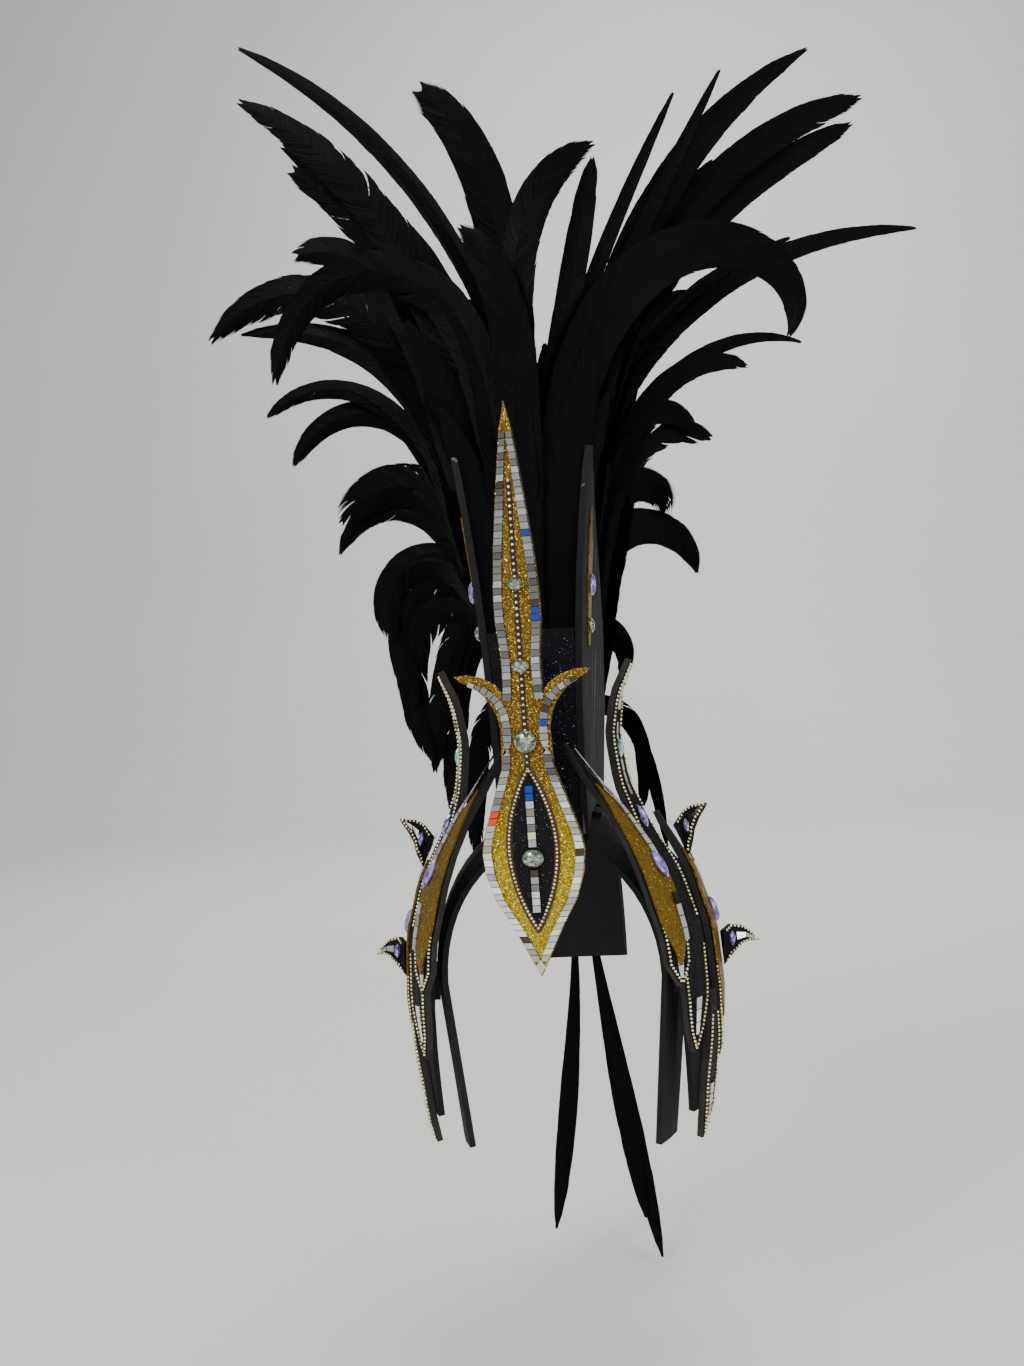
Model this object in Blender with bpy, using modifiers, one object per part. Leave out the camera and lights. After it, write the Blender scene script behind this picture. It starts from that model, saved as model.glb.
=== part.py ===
"""Feathered headdress: a foam head band and crown strap, a front plate set with
mirror tiles and stones, layered side flames, two crest boards and a plume.

Units are metres, +Z up, +X the wearer's left, -Y the front of the face.
The origin is where the top of the head meets the underside of the crown strap.
"""
import math

import bmesh
import bpy
from mathutils import Vector

# Head hollow: half of an ellipsoid, whose centre lies one crown rise below the seat.
HOLLOW_HALF_WIDTH = 0.085
HOLLOW_HALF_LENGTH = 0.108
CROWN_RISE = 0.106
HEAD_SHIFT = 0.004

# Foam sheet and the clearance that every seated piece keeps.
FOAM = 0.004
GAP = 0.0004

# Band over the head from cheek to cheek, and the strap from it to the nape.
BAND_FRONT = -0.052
BAND_WIDTH = 0.040
LEG_DROP = 0.107
LEG_TUCK = 0.011
LEG_TAIL_WIDTH = 0.026
STRAP_WIDTH = 0.066
STRAP_END_ANGLE = 100.0

# Crest: boards either side of the plume, closed in front by a panel.
BOARD_HEIGHT = 0.245
BOARD_FOOT = -0.010
BOARD_DEPTH = 0.105
BOARD_SPACING = 0.049
BOARD_SPLAY = 0.0155
BOARD_OPENING = 0.018
BOARD_FRONT = -0.050
BOARD_FOAM = 0.0045
PANEL_TOP = 0.118
PANEL_SETBACK = 0.0005

# Front plate, upright before the forehead.
PLATE_FACE = -0.100
PLATE_HEIGHT = 0.3505
PLATE_HALF_WIDTH = 0.0315
PLATE_BOTTOM = -0.094
BARB_REACH = 0.042
TILE_WIDTH = 0.0062
TILE_THICKNESS = 0.0012
TILE_INSET = 0.0005
CHAIN_WIDTH = 0.0026
INSET_HALF_WIDTH = 0.0125
INSET_TOP = 0.030
INSET_BOTTOM = -0.062
INSET_THICKNESS = 0.0010
PROP_WIDTH = 0.014
PROP_BOTTOM = 0.006
PROP_TOP = 0.100

# Side flames, seated on a panel that wraps the side of the head.
WING_HALF_WIDTH = 0.0965
WING_HALF_LENGTH = 0.085
WING_RISE = 0.310
WING_TOP = 0.096
FLAME_WIDTH = 0.026
FIN_FOAM = 0.003
PAD_FRONT = -0.046
PAD_LENGTH = 0.010
PAD_HEIGHT = 0.024
FIN_TWIST = 0.35
CHAIN_INSET = 0.0022
GOLD_THICKNESS = 0.0014
LAYER = FOAM + GAP

# Plume: a foam core on the strap, with one row of feathers each side. The row ends short
# of the back of the hollow by the margin.
CORE_HEIGHT = 0.016
CORE_HALF_WIDTH = 0.009
CREST_FRONT = -0.042
CREST_MARGIN = 0.006
CREST_BACK = HEAD_SHIFT + HOLLOW_HALF_LENGTH - CREST_MARGIN
PLUME_REACH = 0.620
VANE_WIDTH = 0.036
FEATHER_THICKNESS = 0.0016
FEATHER_SWEEP = 0.25
NAPE_REACH = 0.270
NAPE_BOW = 0.012
NAPE_TUCK = 0.020

# Stones.
STONE_THICKNESS = 0.0032
MARQUISE_LENGTH = 0.020

# Half outline of the plate's body, from its foot up, as shares of its height and half width.
PLATE_ROWS = (
    {"rise": 0.000, "half": 0.000},
    {"rise": 0.088, "half": 0.490},
    {"rise": 0.134, "half": 0.790},
    {"rise": 0.180, "half": 0.955},
    {"rise": 0.217, "half": 1.000},
    {"rise": 0.245, "half": 0.950},
    {"rise": 0.300, "half": 0.750},
    {"rise": 0.365, "half": 0.510},
    {"rise": 0.425, "half": 0.463},
    {"rise": 0.462, "half": 0.430},
    {"rise": 0.512, "half": 0.385},
    {"rise": 0.556, "half": 0.385},
    {"rise": 0.619, "half": 0.455},
    {"rise": 0.664, "half": 0.455},
    {"rise": 0.738, "half": 0.400},
    {"rise": 0.813, "half": 0.311},
    {"rise": 0.902, "half": 0.194},
    {"rise": 0.948, "half": 0.124},
    {"rise": 1.000, "half": 0.000},
)
# The barb: reach as a share of its own reach, rise as a share of the plate's height.
BARB_ROWS = (
    {"rise": 0.431, "reach": 0.360},
    {"rise": 0.456, "reach": 0.405},
    {"rise": 0.474, "reach": 0.474},
    {"rise": 0.493, "reach": 0.598},
    {"rise": 0.508, "reach": 0.738},
    {"rise": 0.518, "reach": 0.919},
    {"rise": 0.528, "reach": 1.000},
    {"rise": 0.529, "reach": 0.776},
    {"rise": 0.521, "reach": 0.555},
    {"rise": 0.508, "reach": 0.388},
    {"rise": 0.493, "reach": 0.290},
)
BARB_FIRST_ROW = 8
BARB_LAST_ROW = 10
STRIP_ROWS = (1, 17)
# The crest boards' side outline, as shares of their height and depth.
BOARD_ROWS = (
    {"rise": 0.00, "front": 0.00, "back": 1.00},
    {"rise": 0.15, "front": 0.00, "back": 0.99},
    {"rise": 0.32, "front": 0.00, "back": 0.92},
    {"rise": 0.50, "front": 0.01, "back": 0.75},
    {"rise": 0.68, "front": 0.03, "back": 0.50},
    {"rise": 0.84, "front": 0.06, "back": 0.29},
    {"rise": 0.94, "front": 0.09, "back": 0.19},
    {"rise": 1.00, "front": 0.12, "back": 0.14},
)
# How far out the side of the wing stands at each share of its rise from tail to top.
WING_PROFILE = (
    {"rise": 0.00, "out": 0.885}, {"rise": 0.06, "out": 0.930},
    {"rise": 0.20, "out": 0.985}, {"rise": 0.30, "out": 1.000},
    {"rise": 0.43, "out": 0.975}, {"rise": 0.55, "out": 0.860},
    {"rise": 0.65, "out": 0.690}, {"rise": 0.745, "out": 0.560},
    {"rise": 0.845, "out": 0.515}, {"rise": 0.93, "out": 0.560},
    {"rise": 1.00, "out": 0.660},
)
# Side pieces on that surface. "back" is a share of the wing's half length behind its
# middle, "half" a share of half a flame's width, "off" how many foam layers the row
# stands off and "shift" a share of the wing's half width that it leans out.
PIECE_COLUMNS = ("rise", "back", "half", "off", "shift")
SIDE_PANEL = (
    (0.06, -0.36, 0.70, 0.0, 0.0),
    (0.20, -0.33, 1.45, 0.0, 0.0),
    (0.35, -0.30, 1.95, 0.0, 0.0),
    (0.46, -0.31, 1.95, 0.0, 0.0),
    (0.55, -0.34, 1.40, 0.0, 0.0),
    (0.61, -0.40, 0.70, 0.0, 0.0),
)
TALL_FLAME = (
    (0.190, -0.54, 0.06, 1.06, 0.0),
    (0.240, -0.52, 0.55, 1.06, 0.0),
    (0.310, -0.49, 0.85, 1.06, 0.0),
    (0.430, -0.48, 0.92, 1.06, 0.0),
    (0.550, -0.49, 0.88, 1.06, 0.0),
    (0.650, -0.51, 0.72, 1.06, 0.0),
    (0.745, -0.53, 0.62, 1.06, 0.0),
    (0.845, -0.54, 0.56, 1.06, 0.0),
    (0.930, -0.53, 0.42, 1.06, 0.0),
    (1.000, -0.50, 0.06, 1.06, 0.0),
)
FRONT_FLAME = (
    (0.335, -0.66, 0.06, 2.4, 0.00),
    (0.380, -0.66, 0.60, 2.4, 0.00),
    (0.450, -0.66, 0.68, 2.4, 0.00),
    (0.545, -0.67, 0.82, 2.4, 0.00),
    (0.625, -0.69, 0.66, 2.1, 0.00),
    (0.690, -0.71, 0.50, 1.8, -0.03),
    (0.750, -0.73, 0.34, 1.3, -0.09),
    (0.830, -0.75, 0.06, 0.5, -0.19),
)
REAR_FLAME = (
    (0.150, -0.10, 0.06, 1.06, 0.0),
    (0.230, -0.10, 0.50, 1.06, 0.0),
    (0.310, -0.10, 0.72, 1.06, 0.0),
    (0.410, -0.10, 0.80, 1.06, 0.0),
    (0.510, -0.10, 0.68, 1.06, 0.0),
    (0.590, -0.11, 0.46, 1.06, 0.0),
    (0.670, -0.13, 0.06, 1.06, 0.0),
)
CHEEK_LOBE = (
    (0.000, -0.36, 0.06, 1.0, 0.0),
    (0.050, -0.34, 0.50, 1.0, 0.0),
    (0.120, -0.31, 0.70, 1.0, 0.0),
    (0.200, -0.29, 0.62, 1.0, 0.0),
    (0.300, -0.29, 0.30, 1.0, 0.0),
)
# Stations up the wing at which every side piece is drawn, so that layers lie flush.
WING_STATIONS = 34
# Fins: reach past the wing as a share of the fin's own, and the slant of each row.
FIN_REACH = 0.029
FIN_COLUMNS = ("rise", "reach", "back", "half", "turn")
UPPER_FIN = (
    (0.608, 0.00, -0.10, 0.74, 0.0),
    (0.636, 0.33, -0.10, 0.80, 16.0),
    (0.653, 0.56, -0.10, 0.60, 2.0),
    (0.666, 0.78, -0.11, 0.33, -12.0),
    (0.680, 1.00, -0.11, 0.04, -20.0),
)
LOWER_FIN = (
    (0.370, 0.00, -0.02, 0.86, 0.0),
    (0.385, 0.20, 0.03, 0.75, 6.0),
    (0.390, 0.45, 0.07, 0.47, -4.0),
    (0.384, 0.65, 0.11, 0.23, -14.0),
    (0.375, 0.80, 0.14, 0.04, -20.0),
)
# One row a feather, from the front of the crest to its back. "lean" is its slant out from
# upright at the root and "curl" how far it bends over, in degrees; "sharp" says how
# suddenly, "at" where along it; "reach" and "width" are shares of the plume's own.
FEATHER_COLUMNS = ("side", "lean", "curl", "sharp", "at", "reach", "width")
FEATHER_ROWS = (
    (-1, -2, 49, 7.0, 2.50, 0.63, 0.75),
    (1, 4, 215, 4.3, 2.50, 0.82, 1.00),
    (-1, 3, 169, 7.0, 0.84, 0.83, 0.75),
    (1, -2, 81, 7.0, 2.50, 0.73, 0.80),
    (-1, -1, 50, 7.0, 1.10, 0.80, 0.85),
    (1, -6, 19, 7.0, 0.30, 0.69, 0.50),
    (-1, 2, 56, 2.1, 2.50, 0.91, 0.75),
    (1, -15, 44, 1.4, 0.42, 0.79, 0.30),
    (1, -9, 39, 2.6, 0.32, 0.83, 0.32),
    (-1, -7, 64, 1.9, 1.20, 1.00, 0.40),
    (1, 5, 59, 2.5, 2.50, 0.90, 0.70),
    (-1, 7, 48, 2.9, 2.50, 0.80, 0.65),
    (1, 5, 74, 2.4, 2.50, 0.90, 0.72),
    (-1, 10, 56, 5.4, 2.25, 0.79, 0.60),
    (1, 9, 58, 4.7, 0.75, 0.86, 0.60),
    (-1, 6, 46, 4.6, 0.80, 0.85, 0.60),
    (1, 4, 89, 2.7, 0.92, 0.85, 0.45),
    (-1, 12, 99, 7.0, 2.25, 0.75, 0.70),
    (1, 9, 88, 7.0, 2.50, 0.61, 0.55),
    (-1, 12, 123, 5.4, 0.97, 0.84, 1.00),
    (1, 11, 110, 5.2, 2.50, 0.58, 0.50),
    (-1, 13, 77, 6.2, 0.80, 0.75, 0.60),
    (1, 8, 105, 3.3, 2.50, 0.66, 0.35),
    (-1, 15, 113, 5.8, 0.98, 0.68, 0.45),
    (1, 7, 179, 7.0, 2.50, 0.53, 0.60),
    (-1, 14, 139, 7.0, 0.90, 0.66, 0.55),
    (1, 9, 117, 7.0, 1.04, 0.51, 0.70),
    (-1, 13, 130, 7.0, 0.87, 0.54, 0.95),
    (1, 5, 230, 7.0, 1.80, 0.46, 0.80),
    (-1, 15, 143, 7.0, 0.87, 0.54, 0.80),
    (1, 5, 170, 7.0, 0.85, 0.46, 0.85),
    (-1, 15, 192, 7.0, 0.83, 0.49, 0.75),
    (1, -4, 213, 7.0, 0.79, 0.33, 0.60),
    (-1, 12, 192, 7.0, 0.69, 0.53, 0.75),
    (-1, 12, 188, 7.0, 0.61, 0.54, 0.75),
    (-1, -5, 178, 7.0, 0.54, 0.58, 0.60),
    (1, -6, 180, 6.0, 0.44, 0.37, 0.30),
    (-1, -5, 184, 7.0, 0.50, 0.60, 0.60),
    (1, -6, 196, 6.0, 0.55, 0.35, 0.35),
    (-1, -4, 181, 6.7, 0.48, 0.46, 0.50),
)
# First and last feather row that each length of core carries.
CORE_GROUPS = {"front": (0, 9), "top": (10, 20), "back": (21, 30), "low": (31, 39)}
# The vane's half width along a feather.
VANE_ROWS = (
    {"along": 0.00, "half": 0.10}, {"along": 0.14, "half": 0.24},
    {"along": 0.28, "half": 0.45}, {"along": 0.42, "half": 0.72},
    {"along": 0.56, "half": 0.95}, {"along": 0.68, "half": 1.00},
    {"along": 0.79, "half": 0.95}, {"along": 0.89, "half": 0.75},
    {"along": 0.96, "half": 0.45}, {"along": 1.00, "half": 0.08},
)
# Nape feathers: where they leave the core, out to the side and down the back.
NAPE_ROWS = (
    {"side": 1, "start": 76.0, "out": 0.150, "reach": 1.00, "width": 0.40},
    {"side": 1, "start": 82.0, "out": 0.110, "reach": 0.85, "width": 0.40},
    {"side": -1, "start": 79.0, "out": 0.100, "reach": 0.90, "width": 0.40},
)

COLOURS = {
    "black_foam": ((0.020, 0.020, 0.024, 1.0), 0.70, 0.0),
    "black_glitter": ((0.012, 0.011, 0.016, 1.0), 0.45, 0.2),
    "gold_glitter": ((0.560, 0.370, 0.045, 1.0), 0.35, 0.7),
    "mirror_tile": ((0.720, 0.730, 0.740, 1.0), 0.06, 1.0),
    "chain_metal": ((0.780, 0.680, 0.330, 1.0), 0.22, 1.0),
    "clear_stone": ((0.760, 0.780, 0.700, 1.0), 0.05, 0.0),
    "lilac_stone": ((0.430, 0.360, 0.720, 1.0), 0.08, 0.0),
    "opal_stone": ((0.350, 0.620, 0.600, 1.0), 0.10, 0.0),
    "feather": ((0.008, 0.008, 0.010, 1.0), 0.50, 0.0),
}


def clear_scene():
    for old in list(bpy.data.objects):
        bpy.data.objects.remove(old, do_unlink=True)


def new_collection(name):
    collection = bpy.data.collections.new(name)
    bpy.context.scene.collection.children.link(collection)
    return collection


def finish_of(kind):
    found = bpy.data.materials.get(kind)
    if found:
        return found
    colour, roughness, metallic = COLOURS[kind]
    made = bpy.data.materials.new(kind)
    made.use_nodes = True
    shader = made.node_tree.nodes["Principled BSDF"]
    shader.inputs["Base Color"].default_value = colour
    shader.inputs["Roughness"].default_value = roughness
    shader.inputs["Metallic"].default_value = metallic
    made.diffuse_color = colour
    return made


def add_mesh(name, points, faces, kind, smooth=False):
    """Put a mesh of the given points and faces into the headdress collection."""
    mesh = bpy.data.meshes.new(name)
    mesh.from_pydata([tuple(p) for p in points], [], faces)
    if smooth:
        mesh.shade_smooth()
        mesh.set_sharp_from_angle(angle=math.radians(40))
    piece = bpy.data.objects.new(name, mesh)
    headdress.objects.link(piece)
    piece.data.materials.append(finish_of(kind))
    return piece


def claim(piece):
    """Move a piece made by an operator into the headdress collection."""
    for collection in list(piece.users_collection):
        collection.objects.unlink(piece)
    headdress.objects.link(piece)


def outward(piece):
    """Turn a closed body's faces outward."""
    work = bmesh.new()
    work.from_mesh(piece.data)
    bmesh.ops.recalc_face_normals(work, faces=work.faces)
    work.to_mesh(piece.data)
    work.free()
    return piece


def thicken(piece, thickness, offset=1.0):
    wall = piece.modifiers.new("wall", "SOLIDIFY")
    wall.thickness = thickness
    wall.offset = offset
    wall.use_even_offset = True
    return piece


def sheet(name, rows, thickness, kind, flip=False):
    """A foam sheet: rows of points become one surface with a wall on its outer side."""
    across = len(rows[0])
    points = [p for row in rows for p in row]
    faces = []
    for r in range(len(rows) - 1):
        for c in range(across - 1):
            a = r * across + c
            quad = (a, a + 1, a + across + 1, a + across)
            faces.append(quad[::-1] if flip else quad)
    return thicken(add_mesh(name, points, faces, kind, smooth=True), thickness)


def flat_piece(name, outline, face_y, thickness, kind):
    """A flat outline in X and Z, whose front face lies at face_y."""
    curve = bpy.data.curves.new(name, "CURVE")
    curve.dimensions = "2D"
    curve.fill_mode = "BOTH"
    curve.extrude = thickness / 2
    spline = curve.splines.new("POLY")
    spline.points.add(len(outline) - 1)
    for point, (x, z) in zip(spline.points, outline):
        point.co = (x, z, 0.0, 1.0)
    spline.use_cyclic_u = True
    piece = bpy.data.objects.new(name, curve)
    headdress.objects.link(piece)
    piece.location.y = face_y + thickness / 2
    piece.rotation_euler.x = math.radians(90)
    piece.data.materials.append(finish_of(kind))
    return piece


def tube(name, route, diameter, kind, closed=False):
    """A round strand through the points of a route."""
    curve = bpy.data.curves.new(name, "CURVE")
    curve.dimensions = "3D"
    curve.bevel_depth = diameter / 2
    curve.bevel_resolution = 1
    curve.use_fill_caps = True
    spline = curve.splines.new("POLY")
    spline.points.add(len(route) - 1)
    for point, place in zip(spline.points, route):
        point.co = (place[0], place[1], place[2], 1.0)
    spline.use_cyclic_u = closed
    piece = bpy.data.objects.new(name, curve)
    headdress.objects.link(piece)
    piece.data.materials.append(finish_of(kind))
    return piece


def as_mesh(piece):
    """Turn a curve or modified object into a plain mesh object with welded caps."""
    depsgraph = bpy.context.evaluated_depsgraph_get()
    mesh = bpy.data.meshes.new_from_object(piece.evaluated_get(depsgraph))
    work = bmesh.new()
    work.from_mesh(mesh)
    bmesh.ops.remove_doubles(work, verts=work.verts, dist=0.00001)
    work.to_mesh(mesh)
    work.free()
    solid = bpy.data.objects.new(piece.name + "_solid", mesh)
    solid.matrix_world = piece.matrix_world
    headdress.objects.link(solid)
    name = piece.name
    bpy.data.objects.remove(piece, do_unlink=True)
    solid.name = name
    return solid


def fuse(base, others):
    """Join the others to the base, one closed body."""
    for index, other in enumerate(others):
        union = base.modifiers.new(f"join_{index}", "BOOLEAN")
        union.operation = "UNION"
        union.solver = "EXACT"
        union.object = other
    bpy.context.view_layer.update()
    fused = as_mesh(base)
    for other in others:
        bpy.data.objects.remove(other, do_unlink=True)
    return fused


def lerp(a, b, t):
    return a + (b - a) * t


def read_rows(rows, key, column, at):
    """Value of a column between two rows of a table, by straight interpolation."""
    for low, high in zip(rows, rows[1:]):
        if at <= high[key]:
            share = (at - low[key]) / (high[key] - low[key])
            return lerp(low[column], high[column], max(0.0, share))
    return rows[-1][column]


def crown_z(x, y, grow=0.0):
    """Height of the crown's surface over a place, raised by grow."""
    across = x / (HOLLOW_HALF_WIDTH + grow)
    along = (y - HEAD_SHIFT) / (HOLLOW_HALF_LENGTH + grow)
    inside = max(0.0, 1 - across * across - along * along)
    return -CROWN_RISE + (CROWN_RISE + grow) * math.sqrt(inside)


def crown_arch(x, angle, grow=0.0):
    """Point of the crown at an angle from upright towards the nape, x off the midline."""
    narrow = math.sqrt(1 - (x / (HOLLOW_HALF_WIDTH + grow)) ** 2)
    y = HEAD_SHIFT + (HOLLOW_HALF_LENGTH + grow) * narrow * math.sin(angle)
    z = -CROWN_RISE + (CROWN_RISE + grow) * narrow * math.cos(angle)
    return Vector((x, y, z))


def ridge_angle(y, grow):
    return math.asin((y - HEAD_SHIFT) / (HOLLOW_HALF_LENGTH + grow))


def band_narrowing(y):
    along = (y - HEAD_SHIFT) / HOLLOW_HALF_LENGTH
    return math.sqrt(1 - along * along)


def make_band():
    """The arch from cheek to cheek, with a straight tucked leg at each end."""
    arch_steps = 24
    leg_steps = 3
    rows = []
    for step in range(-arch_steps // 2 - leg_steps, arch_steps // 2 + leg_steps + 1):
        beyond = max(0, abs(step) - arch_steps // 2) / leg_steps
        angle = math.radians(90) * max(-1, min(1, 2 * step / arch_steps))
        side = -1 if step < 0 else 1
        width = lerp(BAND_WIDTH, LEG_TAIL_WIDTH, beyond)
        row = []
        for share in (0.0, 0.5, 1.0):
            y = BAND_FRONT + share * width
            narrow = band_narrowing(y)
            x = HOLLOW_HALF_WIDTH * narrow * math.sin(angle) - side * LEG_TUCK * beyond
            z = -CROWN_RISE + CROWN_RISE * narrow * math.cos(angle) - LEG_DROP * beyond
            row.append((x, y, z))
        rows.append(row)
    return sheet("head_band", rows, FOAM, "black_foam")


def make_strap():
    """The wide strap from the band over the crown to the nape."""
    start = ridge_angle(BAND_FRONT + BAND_WIDTH + GAP, 0)
    end = math.radians(STRAP_END_ANGLE)
    rows = []
    steps = 14
    for step in range(steps + 1):
        angle = lerp(start, end, step / steps)
        row = [crown_arch(share * STRAP_WIDTH / 2, angle) for share in (-1, -0.5, 0, 0.5, 1)]
        rows.append(row)
    for point in rows[0]:
        point.y = BAND_FRONT + BAND_WIDTH + GAP
    return sheet("crown_strap", rows, FOAM, "black_foam", flip=False)


def board_inner_x(y, z):
    """Inner face of a crest board: it splays with height and opens towards the back."""
    rise = max(0.0, min(1.0, (z - BOARD_FOOT) / BOARD_HEIGHT))
    back = (y - BOARD_FRONT) / BOARD_DEPTH
    return BOARD_SPACING / 2 + BOARD_SPLAY * rise ** 2 + BOARD_OPENING * back * rise


def make_boards():
    for name, side in (("left", -1), ("right", 1)):
        rows = []
        for entry in BOARD_ROWS:
            row = []
            for share in (0.0, 0.25, 0.5, 0.75, 1.0):
                back = lerp(entry["front"], entry["back"], share)
                y = BOARD_FRONT + back * BOARD_DEPTH
                z = BOARD_FOOT + entry["rise"] * BOARD_HEIGHT
                if entry["rise"] == 0.0:
                    z = crown_z(BOARD_SPACING / 2 + BOARD_FOAM, y, FOAM) + 2 * GAP
                    z = max(z, crown_z(BOARD_SPACING / 2, y, FOAM) + GAP)
                row.append((side * board_inner_x(y, z), y, z))
            rows.append(row)
        sheet(f"crest_board_{name}", rows, BOARD_FOAM, "black_foam", flip=side < 0)


def make_front_panel():
    """The glitter panel that closes the crest in front."""
    face = BOARD_FRONT + PANEL_SETBACK
    rows = []
    for share in (0.0, 0.35, 0.7, 1.0):
        row = []
        for across in (-1.0, -0.5, 0.0, 0.5, 1.0):
            low = BOARD_SPACING / 2 * across
            foot = crown_z(low, face, FOAM) + 2 * GAP
            z = lerp(foot, PANEL_TOP, share)
            x = across * (board_inner_x(face, z) - GAP)
            row.append((x, face + FOAM, z))
        rows.append(row)
    sheet("crest_front_panel", rows, FOAM, "black_glitter")


def plate_half(rise):
    return PLATE_HALF_WIDTH * read_rows(PLATE_ROWS, "rise", "half", rise)


def plate_z(rise):
    return PLATE_BOTTOM + rise * PLATE_HEIGHT


def plate_outline():
    """The right edge from foot to tip with its barb, then the left edge back down."""
    body = [(PLATE_HALF_WIDTH * row["half"], plate_z(row["rise"])) for row in PLATE_ROWS]
    barb = [(BARB_REACH * row["reach"], plate_z(row["rise"])) for row in BARB_ROWS]
    right = body[:BARB_FIRST_ROW] + barb + body[BARB_LAST_ROW + 1:]
    left = [(-x, z) for x, z in reversed(right[1:-1])]
    return right + left


def make_plate():
    flat_piece("front_plate", plate_outline(), PLATE_FACE, FOAM, "gold_glitter")
    front = BOARD_FRONT + PANEL_SETBACK - GAP
    back = PLATE_FACE + FOAM + GAP
    bpy.ops.mesh.primitive_cube_add(size=1, location=(0, (front + back) / 2,
                                                      (PROP_BOTTOM + PROP_TOP) / 2))
    prop = bpy.context.object
    prop.name = "plate_prop"
    prop.scale = (PROP_WIDTH, front - back, PROP_TOP - PROP_BOTTOM)
    bpy.ops.object.transform_apply(location=False, rotation=False, scale=True)
    prop.data.materials.append(finish_of("black_foam"))
    claim(prop)


def inset_half(z):
    """Half width of the black teardrop in the foot of the plate."""
    share = (z - INSET_BOTTOM) / (INSET_TOP - INSET_BOTTOM)
    return INSET_HALF_WIDTH * math.sin(math.pi * max(0.0, min(1.0, share))) ** 0.85


def make_plate_trim():
    face = PLATE_FACE - GAP
    steps = 12
    heights = [lerp(INSET_BOTTOM, INSET_TOP, step / steps) for step in range(steps + 1)]
    edge = [(inset_half(z), z) for z in heights]
    outline = edge + [(-x, z) for x, z in reversed(edge[1:-1])]
    flat_piece("teardrop_inset", outline, face - INSET_THICKNESS, INSET_THICKNESS,
               "black_glitter")
    strip_face = face - INSET_THICKNESS - GAP
    strip = TILE_WIDTH / 2 * 0.8
    margin = 3 * CHAIN_WIDTH
    bar = [(-strip, INSET_BOTTOM + margin), (strip, INSET_BOTTOM + margin),
           (strip, INSET_TOP - margin), (-strip, INSET_TOP - margin)]
    flat_piece("teardrop_tiles", bar, strip_face - TILE_THICKNESS, TILE_THICKNESS,
               "mirror_tile")
    for name, side in (("left", -1), ("right", 1)):
        rows = []
        for row in PLATE_ROWS[STRIP_ROWS[0]:STRIP_ROWS[1] + 1]:
            outer = PLATE_HALF_WIDTH * row["half"] - TILE_INSET
            inner = max(outer - TILE_WIDTH, CHAIN_WIDTH / 2 * row["rise"])
            z = plate_z(row["rise"])
            rows.append([(side * inner, face, z), (side * outer, face, z)])
        sheet(f"plate_tiles_{name}", rows, TILE_THICKNESS, "mirror_tile", flip=side < 0)


def plate_chain_centre():
    return PLATE_FACE - GAP - CHAIN_WIDTH / 2


def make_plate_chain():
    """The stem of the chain, fused to the loop round the teardrop."""
    y = plate_chain_centre()
    top = plate_z(0.855)
    steps = 10
    clear = GAP + CHAIN_WIDTH * 0.62
    loop = []
    low = INSET_BOTTOM - clear
    high = INSET_TOP + clear
    for step in range(steps + 1):
        z = lerp(low, high, step / steps)
        share = math.sin(math.pi * step / steps) ** 0.85
        loop.append(((INSET_HALF_WIDTH + clear) * share, y, z))
    loop += [(-x, y, z) for x, _, z in reversed(loop[1:-1])]
    ring = as_mesh(tube("teardrop_ring", loop, CHAIN_WIDTH, "chain_metal", closed=True))
    stem_route = [(0, y, lerp(high - CHAIN_WIDTH / 3, top, s / 6)) for s in range(7)]
    stem = as_mesh(tube("plate_chain", stem_route, CHAIN_WIDTH, "chain_metal"))
    fused = fuse(stem, [ring])
    fused.name = "plate_chain"


def round_stone(name, place, radius, thickness, kind):
    """A cut round stone: a girdle of twelve facets under a flat table, facing forward."""
    sides = 12
    bpy.ops.mesh.primitive_cone_add(vertices=sides, radius1=radius, radius2=radius * 0.55,
                                    depth=thickness, location=(0, 0, 0))
    stone = bpy.context.object
    stone.name = name
    stone.data.transform(stone.matrix_world)
    stone.rotation_euler = (math.radians(90), 0, 0)
    stone.location = (place[0], place[1] - thickness / 2, place[2])
    stone.data.materials.append(finish_of(kind))
    claim(stone)
    return stone


# Round stones down the plate, by their share of its height and their radius.
ROUND_STONES = (
    {"rise": 0.680, "radius": 0.0043},
    {"rise": 0.538, "radius": 0.0052},
    {"rise": 0.408, "radius": 0.0068},
    {"rise": 0.207, "radius": 0.0068},
)


def make_round_stones():
    over_chain = PLATE_FACE - GAP - CHAIN_WIDTH - GAP
    over_tiles = PLATE_FACE - 3 * GAP - INSET_THICKNESS - TILE_THICKNESS
    for index, entry in enumerate(ROUND_STONES, start=1):
        z = plate_z(entry["rise"])
        y = over_chain if z > INSET_TOP else over_tiles
        round_stone(f"round_stone_{index}", (0, y, z), entry["radius"], STONE_THICKNESS,
                    "clear_stone")


def wing_z(rise):
    return WING_TOP - WING_RISE * (1 - rise)


def wing_point(side, rise, y, off, shift=0.0):
    """Point on the wing's curved side surface, standing off by whole foam layers."""
    out = WING_HALF_WIDTH * read_rows(WING_PROFILE, "rise", "out", rise)
    along = y / WING_HALF_LENGTH
    narrow = math.sqrt(max(0.04, 1 - along * along))
    normal = Vector((1.0, out * along / WING_HALF_LENGTH / narrow, 0.0)).normalized()
    place = Vector((out * narrow + shift * WING_HALF_WIDTH, y, wing_z(rise)))
    place += normal * (off * LAYER)
    return Vector((side * place.x, place.y, place.z))


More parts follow.
